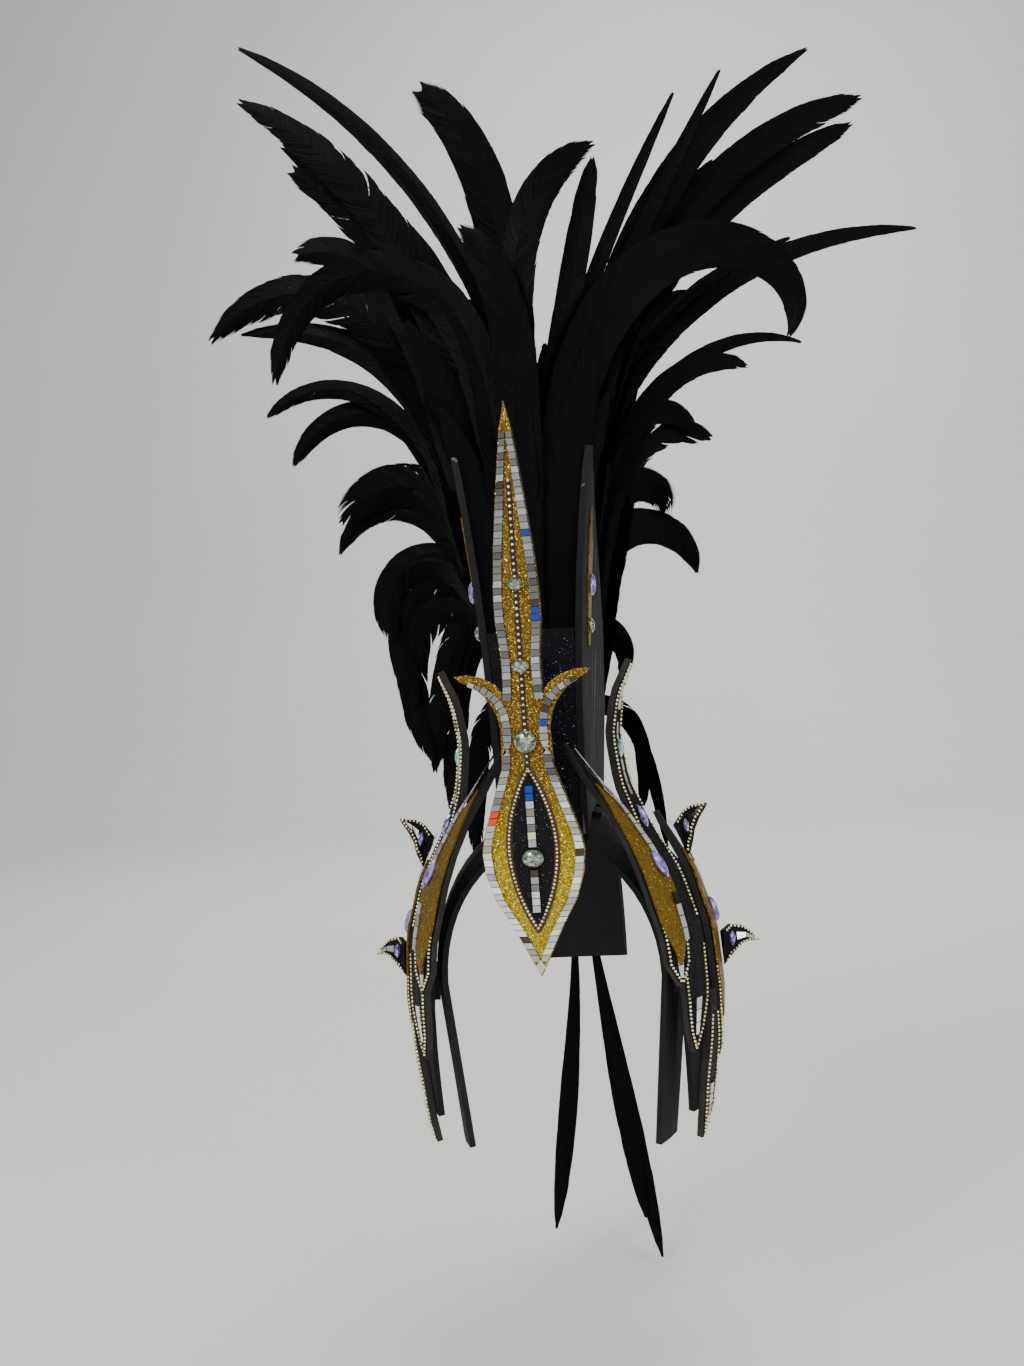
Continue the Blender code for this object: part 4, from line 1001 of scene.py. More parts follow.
def crest_group(name, side, first, last):
    """The feathers that one length of the core carries on one side."""
    rng = np.random.default_rng(1000 + first * 7 + (side + 1))
    plume = Plume(77 + first * 3 + side)
    colour = np.asarray(colours().feather)
    pitch = sizes().barb_pitch
    quill_tint = colour * 1.6
    for row in range(first, last + 1):
        entry = dict(zip(FEATHER_KEYS, FEATHER_ROWS[row]))
        if entry["side"] != side:
            continue
        y = crest_y(row)
        half = VANE_WIDTH / 2 * entry["width"]
        hanging = row >= PLUME_GROUPS["low"][0]
        main = crest_quill(entry, y, twist=rng.uniform(-0.35, 0.35))
        plume.vane(main, half, entry["tip"], colour, pitch, splits=3)
        plume.shaft(main, QUILL_WIDTH, quill_tint)
        for _ in range(1 if hanging else sizes().fillers):
            cut = rng.uniform(0.80, 0.95) if hanging else rng.uniform(0.52, 0.86)
            lean = rng.uniform(-1.2, 1.2) if hanging else rng.uniform(-2.2, 1.6)
            beside = crest_quill(entry, y, lean, cut, rng.uniform(-0.5, 0.5),
                                 rng.uniform(-0.0016, 0.0016))
            narrow = rng.uniform(0.35, 0.50) if hanging else rng.uniform(0.75, 1.0)
            plume.vane(beside, half * narrow, "under", colour * rng.uniform(0.8, 1.15),
                       pitch * 1.35, splits=1)
            plume.shaft(beside, SLIM_QUILL_WIDTH, quill_tint, stop=0.9)
    if first < PLUME_GROUPS["low"][0]:
        for row in range(first, last + 1):
            entry = dict(zip(FEATHER_KEYS, FEATHER_ROWS[row]))
            lean = rng.uniform(-2.0, 4.0 if row < PLUME_GROUPS["back"][0] else 9.0)
            low = dict(entry, side=side, lean=lean, curl=rng.uniform(8, 30),
                       sharp=2.0, at=2.0, reach=rng.uniform(0.34, 0.56), width=0.9)
            under = crest_quill(low, crest_y(row), twist=rng.uniform(-0.6, 0.6))
            plume.vane(under, VANE_WIDTH / 2 * rng.uniform(0.8, 1.05), "under", colour * 0.85,
                       pitch * 1.6, splits=1)
    return plume.piece(name)


class HEADDRESS_OT_crest(Operator):
    """Lay the crest's feathers, barb by barb, on their foam core"""

    bl_idname = "headdress.crest"
    bl_label = "Crest feathers"

    def execute(self, context):
        for group, (first, last) in PLUME_GROUPS.items():
            for name, side in SIDES:
                node = f"plume_{group}_{name}"
                piece = crest_group(f"feathers_{group}_{name}", side, first, last)
                settle(piece, "coque_feather", (node,))
        return {"FINISHED"}


# Sections of the core over the crown and down the nape, the degrees that it spans there, and
# the corners of a section: side and growth off the crown.
CORE_SECTIONS = 26
NAPE_SECTIONS = 10
NAPE_CORE_SPAN = (62.0, 96.0)
CORE_CORNERS = ((-1, LAYER), (1, LAYER), (1, LAYER + CORE_HEIGHT), (-1, LAYER + CORE_HEIGHT))


class HEADDRESS_OT_core(Operator):
    """Model the foam core that the feathers are pushed into, over the crown"""

    bl_idname = "headdress.core"
    bl_label = "Crest core"

    def execute(self, context):
        points = [(x * CORE_HALF_WIDTH, y, crown_z(CORE_HALF_WIDTH, y, grow))
                  for y in np.linspace(CREST_FRONT - 0.002, CREST_BACK + 0.0015,
                                       CORE_SECTIONS)
                  for x, grow in CORE_CORNERS]
        core = mesh_piece("crest_core", points, bar_faces(CORE_SECTIONS))
        bevel = core.modifiers.new("edge", "BEVEL")
        bevel.width = 0.0012
        bevel.segments = 2
        settle(core, "foam")
        return {"FINISHED"}


class HEADDRESS_OT_nape(Operator):
    """Hang the slim feathers down the back of the neck"""

    bl_idname = "headdress.nape"
    bl_label = "Nape feathers"

    def execute(self, context):
        plume = Plume(51)
        colour = np.asarray(colours().feather)
        shares = np.linspace(0, 1, 60)
        for side, start, out, reach, width in NAPE_ROWS:
            root = crown_arch(0, math.radians(start), FOAM + GAP + CORE_HEIGHT * 0.5)
            for copy, (cut, drift, narrow) in enumerate(NAPE_COPIES):
                t = shares * cut
                x = side * (CORE_HALF_WIDTH * 0.6 + (out + drift) * NAPE_REACH * t ** 1.4)
                y = root[1] + NAPE_BOW * np.sin(math.pi * t) - NAPE_TUCK * t * t
                y = y + 0.0012 * (copy - 1)
                z = root[2] - NAPE_REACH * reach * t
                quill = Quill(row_of(x, y, z), lambda share: 0.25 * np.sin(share * math.pi))
                half = VANE_WIDTH / 2 * width * narrow
                plume.vane(quill, half, "long", colour, sizes().barb_pitch, splits=1)
                plume.shaft(quill, SLIM_QUILL_WIDTH, colour * 1.5)
        piece = plume.piece("feathers_nape")
        settle(piece, "coque_feather", ("plume_nape",))
        points = [crown_arch(x * CORE_HALF_WIDTH, math.radians(angle), grow)
                  for angle in np.linspace(*NAPE_CORE_SPAN, NAPE_SECTIONS)
                  for x, grow in CORE_CORNERS]
        tail = mesh_piece("nape_core", points, bar_faces(NAPE_SECTIONS))
        settle(tail, "foam")
        return {"FINISHED"}


# Front plate.


def plate_half(rise):
    """Half width of the plate at a share of its height."""
    rows = np.asarray(PLATE_ROWS)
    return PLATE_HALF_WIDTH * np.interp(rise, rows[:, 0], rows[:, 1])


def plate_z(rise):
    return PLATE_BOTTOM + np.asarray(rise) * PLATE_HEIGHT


OUT_FRONT = np.array([0.0, -1.0, 0.0])
TILE_MARGIN = 0.0003
STEM_BACKING = 0.0031
CHAIN_CLEAR = GAP + 0.0016
CHAIN_LIFT = 0.0011
RING_PITCH = 0.0024
RING_WIDTH = 0.0020
STEM_WIDTH = 0.0022
STEM_COLOUR = (0.80, 0.70, 0.62)
BACKING_COLOUR = (0.030, 0.012, 0.008)
# Width of the painted shadow ring round the teardrop's chain.
SHADOW_RING_WIDTH = 0.0040
# The diamond tile at the plate's foot: across, and up from the foot.
DIAMOND = ((0.0, 0.0012), (0.0034, 0.0068), (0.0, 0.0112), (-0.0034, 0.0068))
# Painted reflection of the diamond tile.
DIAMOND_REFLECTION = (0.62, 0.64, 0.60)
# Tile runs down the teardrop: the ends of each, and their half width, pitch and the gain of their
# painted reflection.
TEARDROP_RUNS = ((-0.0545, -0.0285), (-0.0150, 0.0225))
TEARDROP_HALF = 0.0026
TEARDROP_PITCH = 0.0047
TEARDROP_REFLECTION_GAIN = 0.9


def barb_route(side, face, width):
    """Middle of the lower tiles from the plate's edge out along a barb, and their half."""
    line = np.asarray(BARB_LINE)
    marks = np.linspace(0, 1, 30)
    index = np.linspace(0, 1, len(line))
    rise = np.interp(marks, index, line[:, 0])
    reach = BARB_REACH * np.interp(marks, index, line[:, 1])
    middle = row_of(side * reach, face, plate_z(rise))
    for _ in range(3):
        middle[1:-1] = (middle[:-2] + 2 * middle[1:-1] + middle[2:]) / 4
    heading = np.gradient(middle, axis=0)
    heading /= np.linalg.norm(heading, axis=1)[:, None]
    half = width * np.interp(marks, (0.0, 0.6, 1.0), (0.50, 0.44, 0.26))[:, None]
    return middle, np.cross(heading, OUT_FRONT) * half


class HEADDRESS_OT_plate_tiles(Operator):
    """Set the mirror tiles along the plate's edges, on its barbs and down the teardrop"""

    bl_idname = "headdress.plate_tiles"
    bl_label = "Plate tiles"

    def execute(self, context):
        width = sizes().tile_width
        pitch = sizes().tile_pitch
        thick = sizes().tile_thickness
        face = PLATE_FACE - GAP
        for name, side in SIDES:
            tiles = Tiles(31 + side)
            for first, last in (LOWER_TILES, UPPER_TILES):
                rises = np.linspace(first, last, 90)
                z = plate_z(rises)
                outer = plate_half(rises) - TILE_MARGIN
                wide = width * np.interp(rises, (0.0, 0.80, 0.94), (1.0, 1.0, 0.72))
                inner = outer - np.minimum(outer - 0.0002, wide)
                far = row_of(side * outer, face, z)
                near = row_of(side * inner, face, z)
                if first == LOWER_TILES[0]:
                    bend, cross = barb_route(side, face, width)
                    far = np.vstack([far, bend - side * cross])
                    near = np.vstack([near, bend + side * cross])
                tiles.run(near, far, [OUT_FRONT] * len(far), pitch, thick, PAINTED_COLOUR_REFLECTIONS[side],
                          painted_reflection_gain)
            settle(tiles.piece(f"mirror_tiles_{name}"), "mirror_tiles",
                   (f"plate_tiles_{name}",))
        tiles = Tiles(9)
        inset_face = face - INSET_THICKNESS - GAP
        for ends in TEARDROP_RUNS:
            near, far = ([(half, inset_face, z) for z in ends]
                         for half in (-TEARDROP_HALF, TEARDROP_HALF))
            tiles.run(near, far, [OUT_FRONT] * 2, TEARDROP_PITCH, thick, PAINTED_COLOUR_REFLECTIONS[0],
                      lambda z: TEARDROP_REFLECTION_GAIN)
        diamond = [(x, face, PLATE_BOTTOM + z) for x, z in DIAMOND]
        tiles.add(diamond, OUT_FRONT, thick + 0.0005, DIAMOND_REFLECTION)
        settle(tiles.piece("teardrop_mirror_tiles"), "mirror_tiles",
               ("teardrop_tiles",))
        return {"FINISHED"}


class HEADDRESS_OT_plate_chain(Operator):
    """Lay the stone chain down the plate and round the teardrop"""

    bl_idname = "headdress.plate_chain"
    bl_label = "Plate chain"

    def execute(self, context):
        rng = np.random.default_rng(5)
        bead = template(bead_shape)
        y = PLATE_FACE - GAP - CHAIN_LIFT
        low, high = INSET_BOTTOM - CHAIN_CLEAR, INSET_TOP + CHAIN_CLEAR
        z = np.linspace(low, high, 60)
        share = np.sin(math.pi * np.linspace(0, 1, 60)) ** 0.85
        half = (INSET_HALF_WIDTH + CHAIN_CLEAR) * share
        right = row_of(half, y, z)
        left = right[::-1][1:-1] * (-1, 1, 1)
        loop = np.vstack([right, left])
        ring = bead_frames(loop, [OUT_FRONT] * len(loop), RING_PITCH, RING_WIDTH, closed=True)
        stem_z = np.linspace(high + 0.0005, plate_z(0.86), 200)
        stem = row_of(0.0, y, stem_z)
        stones = bead_frames(stem, [OUT_FRONT] * 200, sizes().stem_pitch, STEM_WIDTH)
        piece = stamp("chain_ring", bead, ring, bead_tints(rng, len(ring), colours().bead))
        settle(piece, "chain_stones", smooth=True)
        stem_tints = bead_tints(rng, len(stones), STEM_COLOUR)
        stem_piece = stamp("chain_stem", bead, stones, stem_tints)
        settle(stem_piece, "chain_stones", ("plate_chain",),
               smooth=True)
        points = [(x, PLATE_FACE - 0.0007, z) for _, _, z in stem
                  for x in (-STEM_BACKING / 2, STEM_BACKING / 2)]
        faces = ribbon_faces(len(stem))
        backing = mesh_piece("chain_backing", points, faces, [BACKING_COLOUR] * len(faces))
        settle(backing, "chain_stones")
        chain_shadow_ring(high, low)
        return {"FINISHED"}


def chain_shadow_ring(high, low):
    """The painted shadow ring: a dark band between the teardrop's chain and the gold."""
    rows = 50
    heights = np.linspace(low - SHADOW_RING_WIDTH, high + SHADOW_RING_WIDTH, rows)
    share = np.sin(math.pi * np.linspace(0, 1, rows)) ** 0.80
    halves = (INSET_HALF_WIDTH + SHADOW_RING_WIDTH) * share
    points = [(side * half, PLATE_FACE - 0.00025, z) for half, z in zip(halves, heights)
              for side in (-1, 1)]
    line = mesh_piece("teardrop_painted_shadow", points, ribbon_faces(rows))
    settle(line, "painted_shadow_ring")


# Rings of a cut stone: height and width as shares, and turn as a share of a facet.
STONE_RINGS = ((0.0, 1.0, 0.0), (0.30, 1.0, 0.0), (0.72, 0.78, 0.5), (1.0, 0.46, 0.0))


def cut_stone(rng, centre, across, up, out, half_wide, half_high, thick, colour, sides=16,
              pointed=0.0):
    """Points, faces and facet tints of a foil backed stone: table, crown and girdle. The facet
    tints are painted reflections, each facet lighter or darker, a few with a painted glint of
    white.
    """
    across, up, out = unit(across), unit(up), unit(out)
    points = []
    for level, share, turn in STONE_RINGS:
        for corner in range(sides):
            angle = 2 * math.pi * (corner + turn) / sides
            wide = abs(math.sin(angle)) ** (1.0 + pointed) * math.copysign(1, math.sin(angle))
            place = np.asarray(centre) + up * (math.cos(angle) * half_high * share)
            place = place + across * (wide * half_wide * share)
            points.append(place + out * (level * thick))
    faces = []
    tints = []
    base = np.asarray(colour)

    def facet(corners):
        faces.append(corners)
        # Painted reflection: each facet painted darker or lighter at random, a few with white
        # added as a painted glint.
        roll = rng.random()
        gain = rng.uniform(0.25, 0.65) if roll < 0.45 else rng.uniform(0.8, 1.4)
        painted_glint = 0.30 if roll > 0.92 else 0.0
        tints.append(np.clip(base * gain + painted_glint, 0, 1))

    for corner in range(sides):
        follow = (corner + 1) % sides
        facet((corner, follow, sides + follow, sides + corner))
        facet((sides + corner, sides + follow, 2 * sides + corner))
        facet((sides + follow, 2 * sides + follow, 2 * sides + corner))
        facet((2 * sides + corner, 3 * sides + follow, 3 * sides + corner))
        facet((2 * sides + corner, 2 * sides + follow, 3 * sides + follow))
    middle = len(points)
    points.append(np.asarray(centre) + out * (thick * 1.02))
    for corner in range(sides):
        facet((3 * sides + corner, 3 * sides + (corner + 1) % sides, middle))
    faces.append(tuple(range(sides - 1, -1, -1)))
    tints.append(base * 0.3)
    return points, faces, tints


def stone_piece(name, cuts, stands_for=()):
    """One piece of one or more cut stones, with their faces turned outward."""
    points, faces, tints = [], [], []
    for stone_points, stone_faces, stone_tints in cuts:
        base = len(points)
        points += stone_points
        faces += [tuple(base + v for v in face) for face in stone_faces]
        tints += stone_tints
    piece = mesh_piece(name, points, faces, tints)
    work = bmesh.new()
    work.from_mesh(piece.data)
    bmesh.ops.recalc_face_normals(work, faces=work.faces)
    work.to_mesh(piece.data)
    work.free()
    settle(piece, "cut_stones", stands_for)


class HEADDRESS_OT_plate_stones(Operator):
    """Seat the round cut stones on the plate's chain"""

    bl_idname = "headdress.plate_stones"
    bl_label = "Plate stones"

    def execute(self, context):
        rng = np.random.default_rng(12)
        for index, (rise, wide, high) in enumerate(ROUND_STONES, start=1):
            node = f"round_stone_{index}"
            front, back = (corner[1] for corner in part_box(node))
            centre = (0.0, back, float(plate_z(rise)))
            stone = cut_stone(rng, centre, (1, 0, 0), (0, 0, 1), OUT_FRONT, wide, high,
                              back - front, colours().crystal)
            stone_piece(f"crystal_{index}", [stone], (node,))
        return {"FINISHED"}

# Side flames.


def flame_value(table, column, rise):
    rows = np.asarray(table, dtype=float)
    return float(np.interp(rise, rows[:, 0], rows[:, column]))


def wing_point(side, rise, y, off, shift=0.0, profile=WING_PROFILE):
    """Point on a wing, some foam layers off its innermost face."""
    profile = np.asarray(profile)
    out = WING_HALF_WIDTH * float(np.interp(rise, profile[:, 0], profile[:, 1]))
    along = y / WING_HALF_LENGTH
    narrow = math.sqrt(max(0.04, 1 - along * along))
    normal = unit((1.0, out * along / WING_HALF_LENGTH / narrow, 0.0))
    place = np.array((out * narrow + shift * WING_HALF_WIDTH, y,
                      WING_TOP - WING_RISE * (1 - rise)))
    place = place + normal * (off * LAYER)
    return place * (side, 1, 1)


def drawn(table):
    """A table redrawn at the stations that every packed side piece shares."""
    rows = np.asarray(table, dtype=float)
    stations = np.arange(WING_STATIONS + 1) / WING_STATIONS
    inside = (stations > rows[0, 0] + 0.25 / WING_STATIONS) \
        & (stations < rows[-1, 0] - 0.25 / WING_STATIONS)
    rises = np.concatenate([rows[:1, 0], stations[inside], rows[-1:, 0]])
    columns = [np.interp(rises, rows[:, 0], rows[:, k]) for k in range(1, rows.shape[1])]
    return np.stack([rises] + columns, axis=1)


DRAWN_PROFILE = drawn(WING_PROFILE)


def flame_seat(side, table, rise, share):
    """Point over a side piece's inner face: share -1 is its front edge and 1 its back."""
    back = flame_value(table, 1, rise)
    half = FLAME_WIDTH / 2 * flame_value(table, 2, rise)
    facing = math.sqrt(max(0.04, 1 - back ** 2))
    y = back * WING_HALF_LENGTH + share * half * facing
    return wing_point(side, rise, y, flame_value(table, 3, rise),
                      flame_value(table, 4, rise), DRAWN_PROFILE)


def flame_out(side, table, rise, share):
    """Direction square to a side piece's face, outward."""
    up = flame_seat(side, table, rise + 0.01, share) - \
        flame_seat(side, table, rise - 0.01, share)
    across = flame_seat(side, table, rise, share + 0.2) - \
        flame_seat(side, table, rise, share - 0.2)
    return unit(np.cross(up, across)) * -side


def flame_point(side, table, rise, share, lift):
    """Point over a side piece's outer face."""
    seat = flame_seat(side, table, rise, share)
    return seat + flame_out(side, table, rise, share) * (FOAM + lift)


def flame_table(name, rows):
    """A side piece's table as it is drawn, with off and shift on every row."""
    if name in FLAME_OFF:
        rows = [row + (FLAME_OFF[name], 0.0) for row in rows]
    return drawn(rows)


FLAMES = {name: flame_table(name, rows) for name, rows in
          (("tall", TALL_FLAME), ("front", FRONT_FLAME), ("rear", REAR_FLAME),
           ("cheek", CHEEK_LOBE))}


def flame_skin(name, side, table, inset):
    """The glitter sheet glued on a side piece, a little smaller than the foam."""
    rises = np.clip(table[:, 0], table[0, 0] + 0.004, table[-1, 0] - 0.004)
    points = []
    for rise in rises:
        half = max(1e-5, FLAME_WIDTH / 2 * flame_value(table, 2, rise))
        edge = max(0.10, 1 - inset / half)
        for share in (-edge, 0.0, edge):
            points.append(flame_point(side, table, rise, share, 0.00015))
    return mesh_piece(name, points, ribbon_faces(len(rises), 3, side < 0))


def edge_route(side, table, first, last, inset, lift):
    """Route just inside a piece's edges, round its tip at the last rise."""
    front, back, outs = [], [], []
    for rise in np.linspace(first, last, 70):
        half = FLAME_WIDTH / 2 * flame_value(table, 2, rise)
        share = max(0.0, 1 - inset / max(half, inset))
        front.append(flame_point(side, table, rise, -share, lift))
        back.append(flame_point(side, table, rise, share, lift))
        outs.append(flame_out(side, table, rise, 0.0))
    return front + back[::-1], outs + outs[::-1]


# Chains: flame, first rise, last rise. The route turns round the end at the last rise.
CHAIN_ROUTES = (
    ("tall", 0.46, 0.992), ("tall", 0.40, 0.200), ("front", 0.455, 0.345),
    ("rear", 0.34, 0.160), ("cheek", 0.25, 0.008),
)
# Mirror strips: flame, first and last rise, share across of each edge, and what they lie on.
MIRROR_STRIPS = (
    ("tall", 0.975, 0.897, -0.30, 0.42, "flame"), ("tall", 0.873, 0.715, -0.20, 0.14, "flame"),
    ("tall", 0.300, 0.225, -0.26, 0.26, "flame"), ("front", 0.815, 0.572, 0.36, 0.84, "gold"),
    ("front", 0.520, 0.425, 0.42, 0.84, "gold"), ("front", 0.405, 0.352, -0.28, 0.28, "flame"),
    ("rear", 0.640, 0.505, 0.25, 0.80, "gold"), ("rear", 0.250, 0.180, -0.35, 0.35, "flame"),
    ("cheek", 0.110, 0.025, -0.30, 0.30, "flame"),
)
# Length and thickness of a strip's tiles, how far tiles and gold stand off the foam, how far
# a chain runs inside an edge, and how far along a fin its stone sits.
FLAME_TILE = 0.0078
FLAME_TILE_THICKNESS = 0.0009
TILE_LIFT = 0.0002
GOLD_LIFT = GOLD_THICKNESS + 2 * GAP
CHAIN_INSET = 0.0019
FIN_CHAIN_INSET = 0.0012
FIN_STONE_PLACE = 0.24
# A fin's strip: where along the fin it runs, and the share across of each edge.
FIN_STRIP_SPAN = (0.36, 0.86)
FIN_STRIP_EDGES = (-0.30, 0.34)


class HEADDRESS_OT_flame_sheets(Operator):
    """Glue the black glitter sheet on the outer face of every flame"""

    bl_idname = "headdress.flame_sheets"
    bl_label = "Flame sheets"

    def execute(self, context):
        for name, side in SIDES:
            for flame, table in FLAMES.items():
                skin = flame_skin(f"{flame}_sheet_{name}", side, table, 0.0006)
                settle(skin, "black_glitter_sheet")
        return {"FINISHED"}


def fin_rows(side, table, clear):
    """A fin's inner face: rows of points across it, from its root to its tip."""
    seat = 2.06 * LAYER + GOLD_THICKNESS + clear
    marks = (-1.0, -0.5, 0.0, 0.5, 1.0)
    rows = []
    for rise, reach, back, half_share, slant in table:
        y = back * WING_HALF_LENGTH
        half = FLAME_WIDTH / 2 * half_share
        if reach == 0:
            step = half / WING_RISE
            row = [wing_point(side, rise + mark * step, y, seat / LAYER) for mark in marks]
        else:
            centre = wing_point(side, rise, y, seat / LAYER)
            centre[0] += side * FIN_REACH * reach
            turn = math.radians(slant)
            width = unit((-side * math.sin(turn), FIN_TWIST, math.cos(turn)))
            row = [centre + width * (half * mark) for mark in marks]
        rows.append(np.array(row))
    return np.array(rows)


def fins(side):
    return [fin_rows(side, table, clear) for table, clear in FINS]


def fin_point(rows, along, share, lift):
    """Point over a fin's front face: along 0 is its root and 1 its tip."""
    index = along * (len(rows) - 1)
    column = (share + 1) / 2 * (rows.shape[1] - 1)
    r = min(int(index), len(rows) - 2)
    c = min(int(column), rows.shape[1] - 2)
    fr, fc = index - r, column - c
    low = rows[r, c] * (1 - fc) + rows[r, c + 1] * fc
    high = rows[r + 1, c] * (1 - fc) + rows[r + 1, c + 1] * fc
    point = low * (1 - fr) + high * fr
    across = (rows[r, c + 1] - rows[r, c]) * (1 - fr) + (rows[r + 1, c + 1] - rows[r + 1, c]) * fr
    onward = (rows[r + 1, c] + rows[r + 1, c + 1] - rows[r, c] - rows[r, c + 1])
    out = unit(np.cross(across, onward))
    if out[1] > 0:
        out = -out
    return point + out * (FIN_FOAM + lift), out


class HEADDRESS_OT_flame_chains(Operator):
    """Lay the fine chains along the edges of the flames, lobes and fins"""

    bl_idname = "headdress.flame_chains"
    bl_label = "Flame chains"

    def execute(self, context):
        bead = template(bead_shape)
        pitch, width = sizes().bead_pitch, sizes().bead_width
        seat = width * 0.42
        for name, side in SIDES:
            rng = np.random.default_rng(60 + side)
            frames = []
            for flame, first, last in CHAIN_ROUTES:
                route, outs = edge_route(side, FLAMES[flame], first, last, CHAIN_INSET, seat)
                frames += bead_frames(route, outs, pitch, width)
            for rows in fins(side):
                low, high, outs = [], [], []
                for along in np.linspace(0.08, 0.985, 40):
                    wide = np.linalg.norm(fin_point(rows, along, 1, 0)[0]
                                          - fin_point(rows, along, -1, 0)[0]) / 2
                    share = max(0.0, 1 - FIN_CHAIN_INSET / max(wide, FIN_CHAIN_INSET))
                    place, out = fin_point(rows, along, -share, seat)
                    low.append(place)
                    high.append(fin_point(rows, along, share, seat)[0])
                    outs.append(out)
                frames += bead_frames(low + high[::-1], outs + outs[::-1], pitch, width)
            piece = stamp(f"flame_chains_{name}", bead, frames,
                          bead_tints(rng, len(frames), colours().bead))
            settle(piece, "chain_stones",
                   (f"tall_chain_{name}", f"cheek_chain_{name}"), smooth=True)
        return {"FINISHED"}


class HEADDRESS_OT_flame_mirrors(Operator):
    """Set the mirror strips down the flames, lobes and fins"""

    bl_idname = "headdress.flame_mirrors"
    bl_label = "Flame mirrors"

    def execute(self, context):
        for name, side in SIDES:
            tiles = Tiles(200 + side)
            for flame, first, last, low, high, ground in MIRROR_STRIPS:
                table = FLAMES[flame]
                lift = GOLD_LIFT if ground == "gold" else TILE_LIFT
                rises = np.linspace(first, last, 30)
                near, far = ([flame_point(side, table, rise, share, lift) for rise in rises]
                             for share in (low, high))
                outs = [flame_out(side, table, rise, (low + high) / 2) for rise in rises]
                tiles.run(near, far, outs, FLAME_TILE, FLAME_TILE_THICKNESS)
            for rows in fins(side):
                places = np.linspace(*FIN_STRIP_SPAN, 20)
                near, far = ([fin_point(rows, along, share, TILE_LIFT) for along in places]
                             for share in FIN_STRIP_EDGES)
                tiles.run([point for point, _ in near], [point for point, _ in far],
                          [out for _, out in far], FLAME_TILE, FLAME_TILE_THICKNESS)
            settle(tiles.piece(f"flame_mirrors_{name}"), "mirror_tiles")
        return {"FINISHED"}


class HEADDRESS_OT_flame_stones(Operator):
    """Seat the boat shaped cut stones on the flames, and the small ones on the fins"""

    bl_idname = "headdress.flame_stones"
    bl_label = "Flame stones"

    def execute(self, context):
        for name, side in SIDES:
            rng = np.random.default_rng(300 + side)
            for stone, flame, rise, share, long, wide, ground, shade in MARQUISES:
                table = FLAMES[flame]
                lift = GOLD_LIFT if ground == "gold" else GAP
                centre = flame_point(side, table, rise, share, lift)
                out = flame_out(side, table, rise, share)
                up = unit(flame_point(side, table, rise + 0.05, share, lift) - centre)
                across = np.cross(up, out)
                cut = cut_stone(rng, centre, across, up, out, wide / 2, long / 2, 0.0033,
                                getattr(colours(), shade), 12, 0.75)
                stone_piece(f"cut_{stone}_{name}", [cut],
                            (f"{stone}_{name}",))
            cuts = []
            for rows in fins(side):
                centre, out = fin_point(rows, FIN_STONE_PLACE, 0.0, TILE_LIFT)
                up = unit(fin_point(rows, FIN_STONE_PLACE, 0.5, TILE_LIFT)[0] - centre)
                cuts.append(cut_stone(rng, centre, np.cross(up, out), up, out, 0.0024, 0.0050,
                                      0.0026, colours().lilac, 10, 0.7))
            stone_piece(f"fin_stones_{name}", cuts)
        return {"FINISHED"}


# Crest boards.

# Gold strip up each board, and its stones: height, length, width and colour.
BOARD_STRIP_FOOT = 0.106
BOARD_STRIP_HEIGHT = 0.090
BOARD_STONES = ((0.146, 0.0150, 0.0065, "lilac"), (0.119, 0.0100, 0.0080, "crystal"))


def board_point(side, y, z, lift):
    """Point over the outer face of a crest board."""
    rise = max(0.0, min(1.0, (z - BOARD_FOOT) / BOARD_HEIGHT))
    back = (y - BOARD_FRONT) / BOARD_DEPTH
    inner = BOARD_SPACING / 2 + BOARD_SPLAY * rise ** 2 + BOARD_OPENING * back * rise
    return np.array((side * (inner + BOARD_FOAM * 1.02 + lift), y, z))


class HEADDRESS_OT_board_trim(Operator):
    """Glue the gold strip and the small stones on the crest boards"""

    bl_idname = "headdress.board_trim"
    bl_label = "Board trim"

    def execute(self, context):
        for name, side in SIDES:
            rng = np.random.default_rng(400 + side)
            points = []
            rows = 30
            for share in np.linspace(0, 1, rows):
                z = BOARD_STRIP_FOOT + BOARD_STRIP_HEIGHT * share
                half = 0.0050 * math.sin(math.pi * min(1, 0.12 + share * 0.88)) ** 0.7
                centre = -0.028 - 0.004 * share
                points.append(board_point(side, centre - half, z, GAP))
                points.append(board_point(side, centre + half, z, GAP))
            strip = mesh_piece(f"board_gold_{name}", points,
                               ribbon_faces(rows, flip=side < 0))
            wall = strip.modifiers.new("wall", "SOLIDIFY")
            wall.thickness = 0.0008
            wall.offset = 1.0
            settle(strip, "flame_gold")
            cuts = [cut_stone(rng, board_point(side, -0.029, z, 0.0014), (0, 1, 0), (0, 0, 1),
                              (side, 0, 0), wide / 2, long / 2, 0.0030,
                              getattr(colours(), shade), 12, 0.6)
                    for z, long, wide, shade in BOARD_STONES]
            stone_piece(f"board_stones_{name}", cuts)
        return {"FINISHED"}


# Frame finishes and stage.

NODE_FINISHES = (
    ("foam", ("head_band", "crown_strap", "plate_prop", "side_panel_", "wing_pad_")),
    ("flame_foam", ("tall_flame_", "front_flame_", "rear_flame_", "cheek_lobe_")),
    ("board_foam", ("crest_board_",)),
    ("black_glitter_sheet", ("crest_front_panel", "teardrop_inset", "upper_fin_",
                             "lower_fin_")),
    ("flame_gold", ("front_gold_", "rear_gold_")),
    ("plate_gold", ("front_plate",)),
)


class HEADDRESS_OT_foam(Operator):
    """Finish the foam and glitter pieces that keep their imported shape"""

    bl_idname = "headdress.foam"
    bl_label = "Foam finishes"

    def execute(self, context):
        for finish, stems in NODE_FINISHES:
            for node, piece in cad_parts.items():
                if node.startswith(stems):
                    piece.data.materials.clear()
                    piece.data.materials.append(shared_finish(finish))
        return {"FINISHED"}


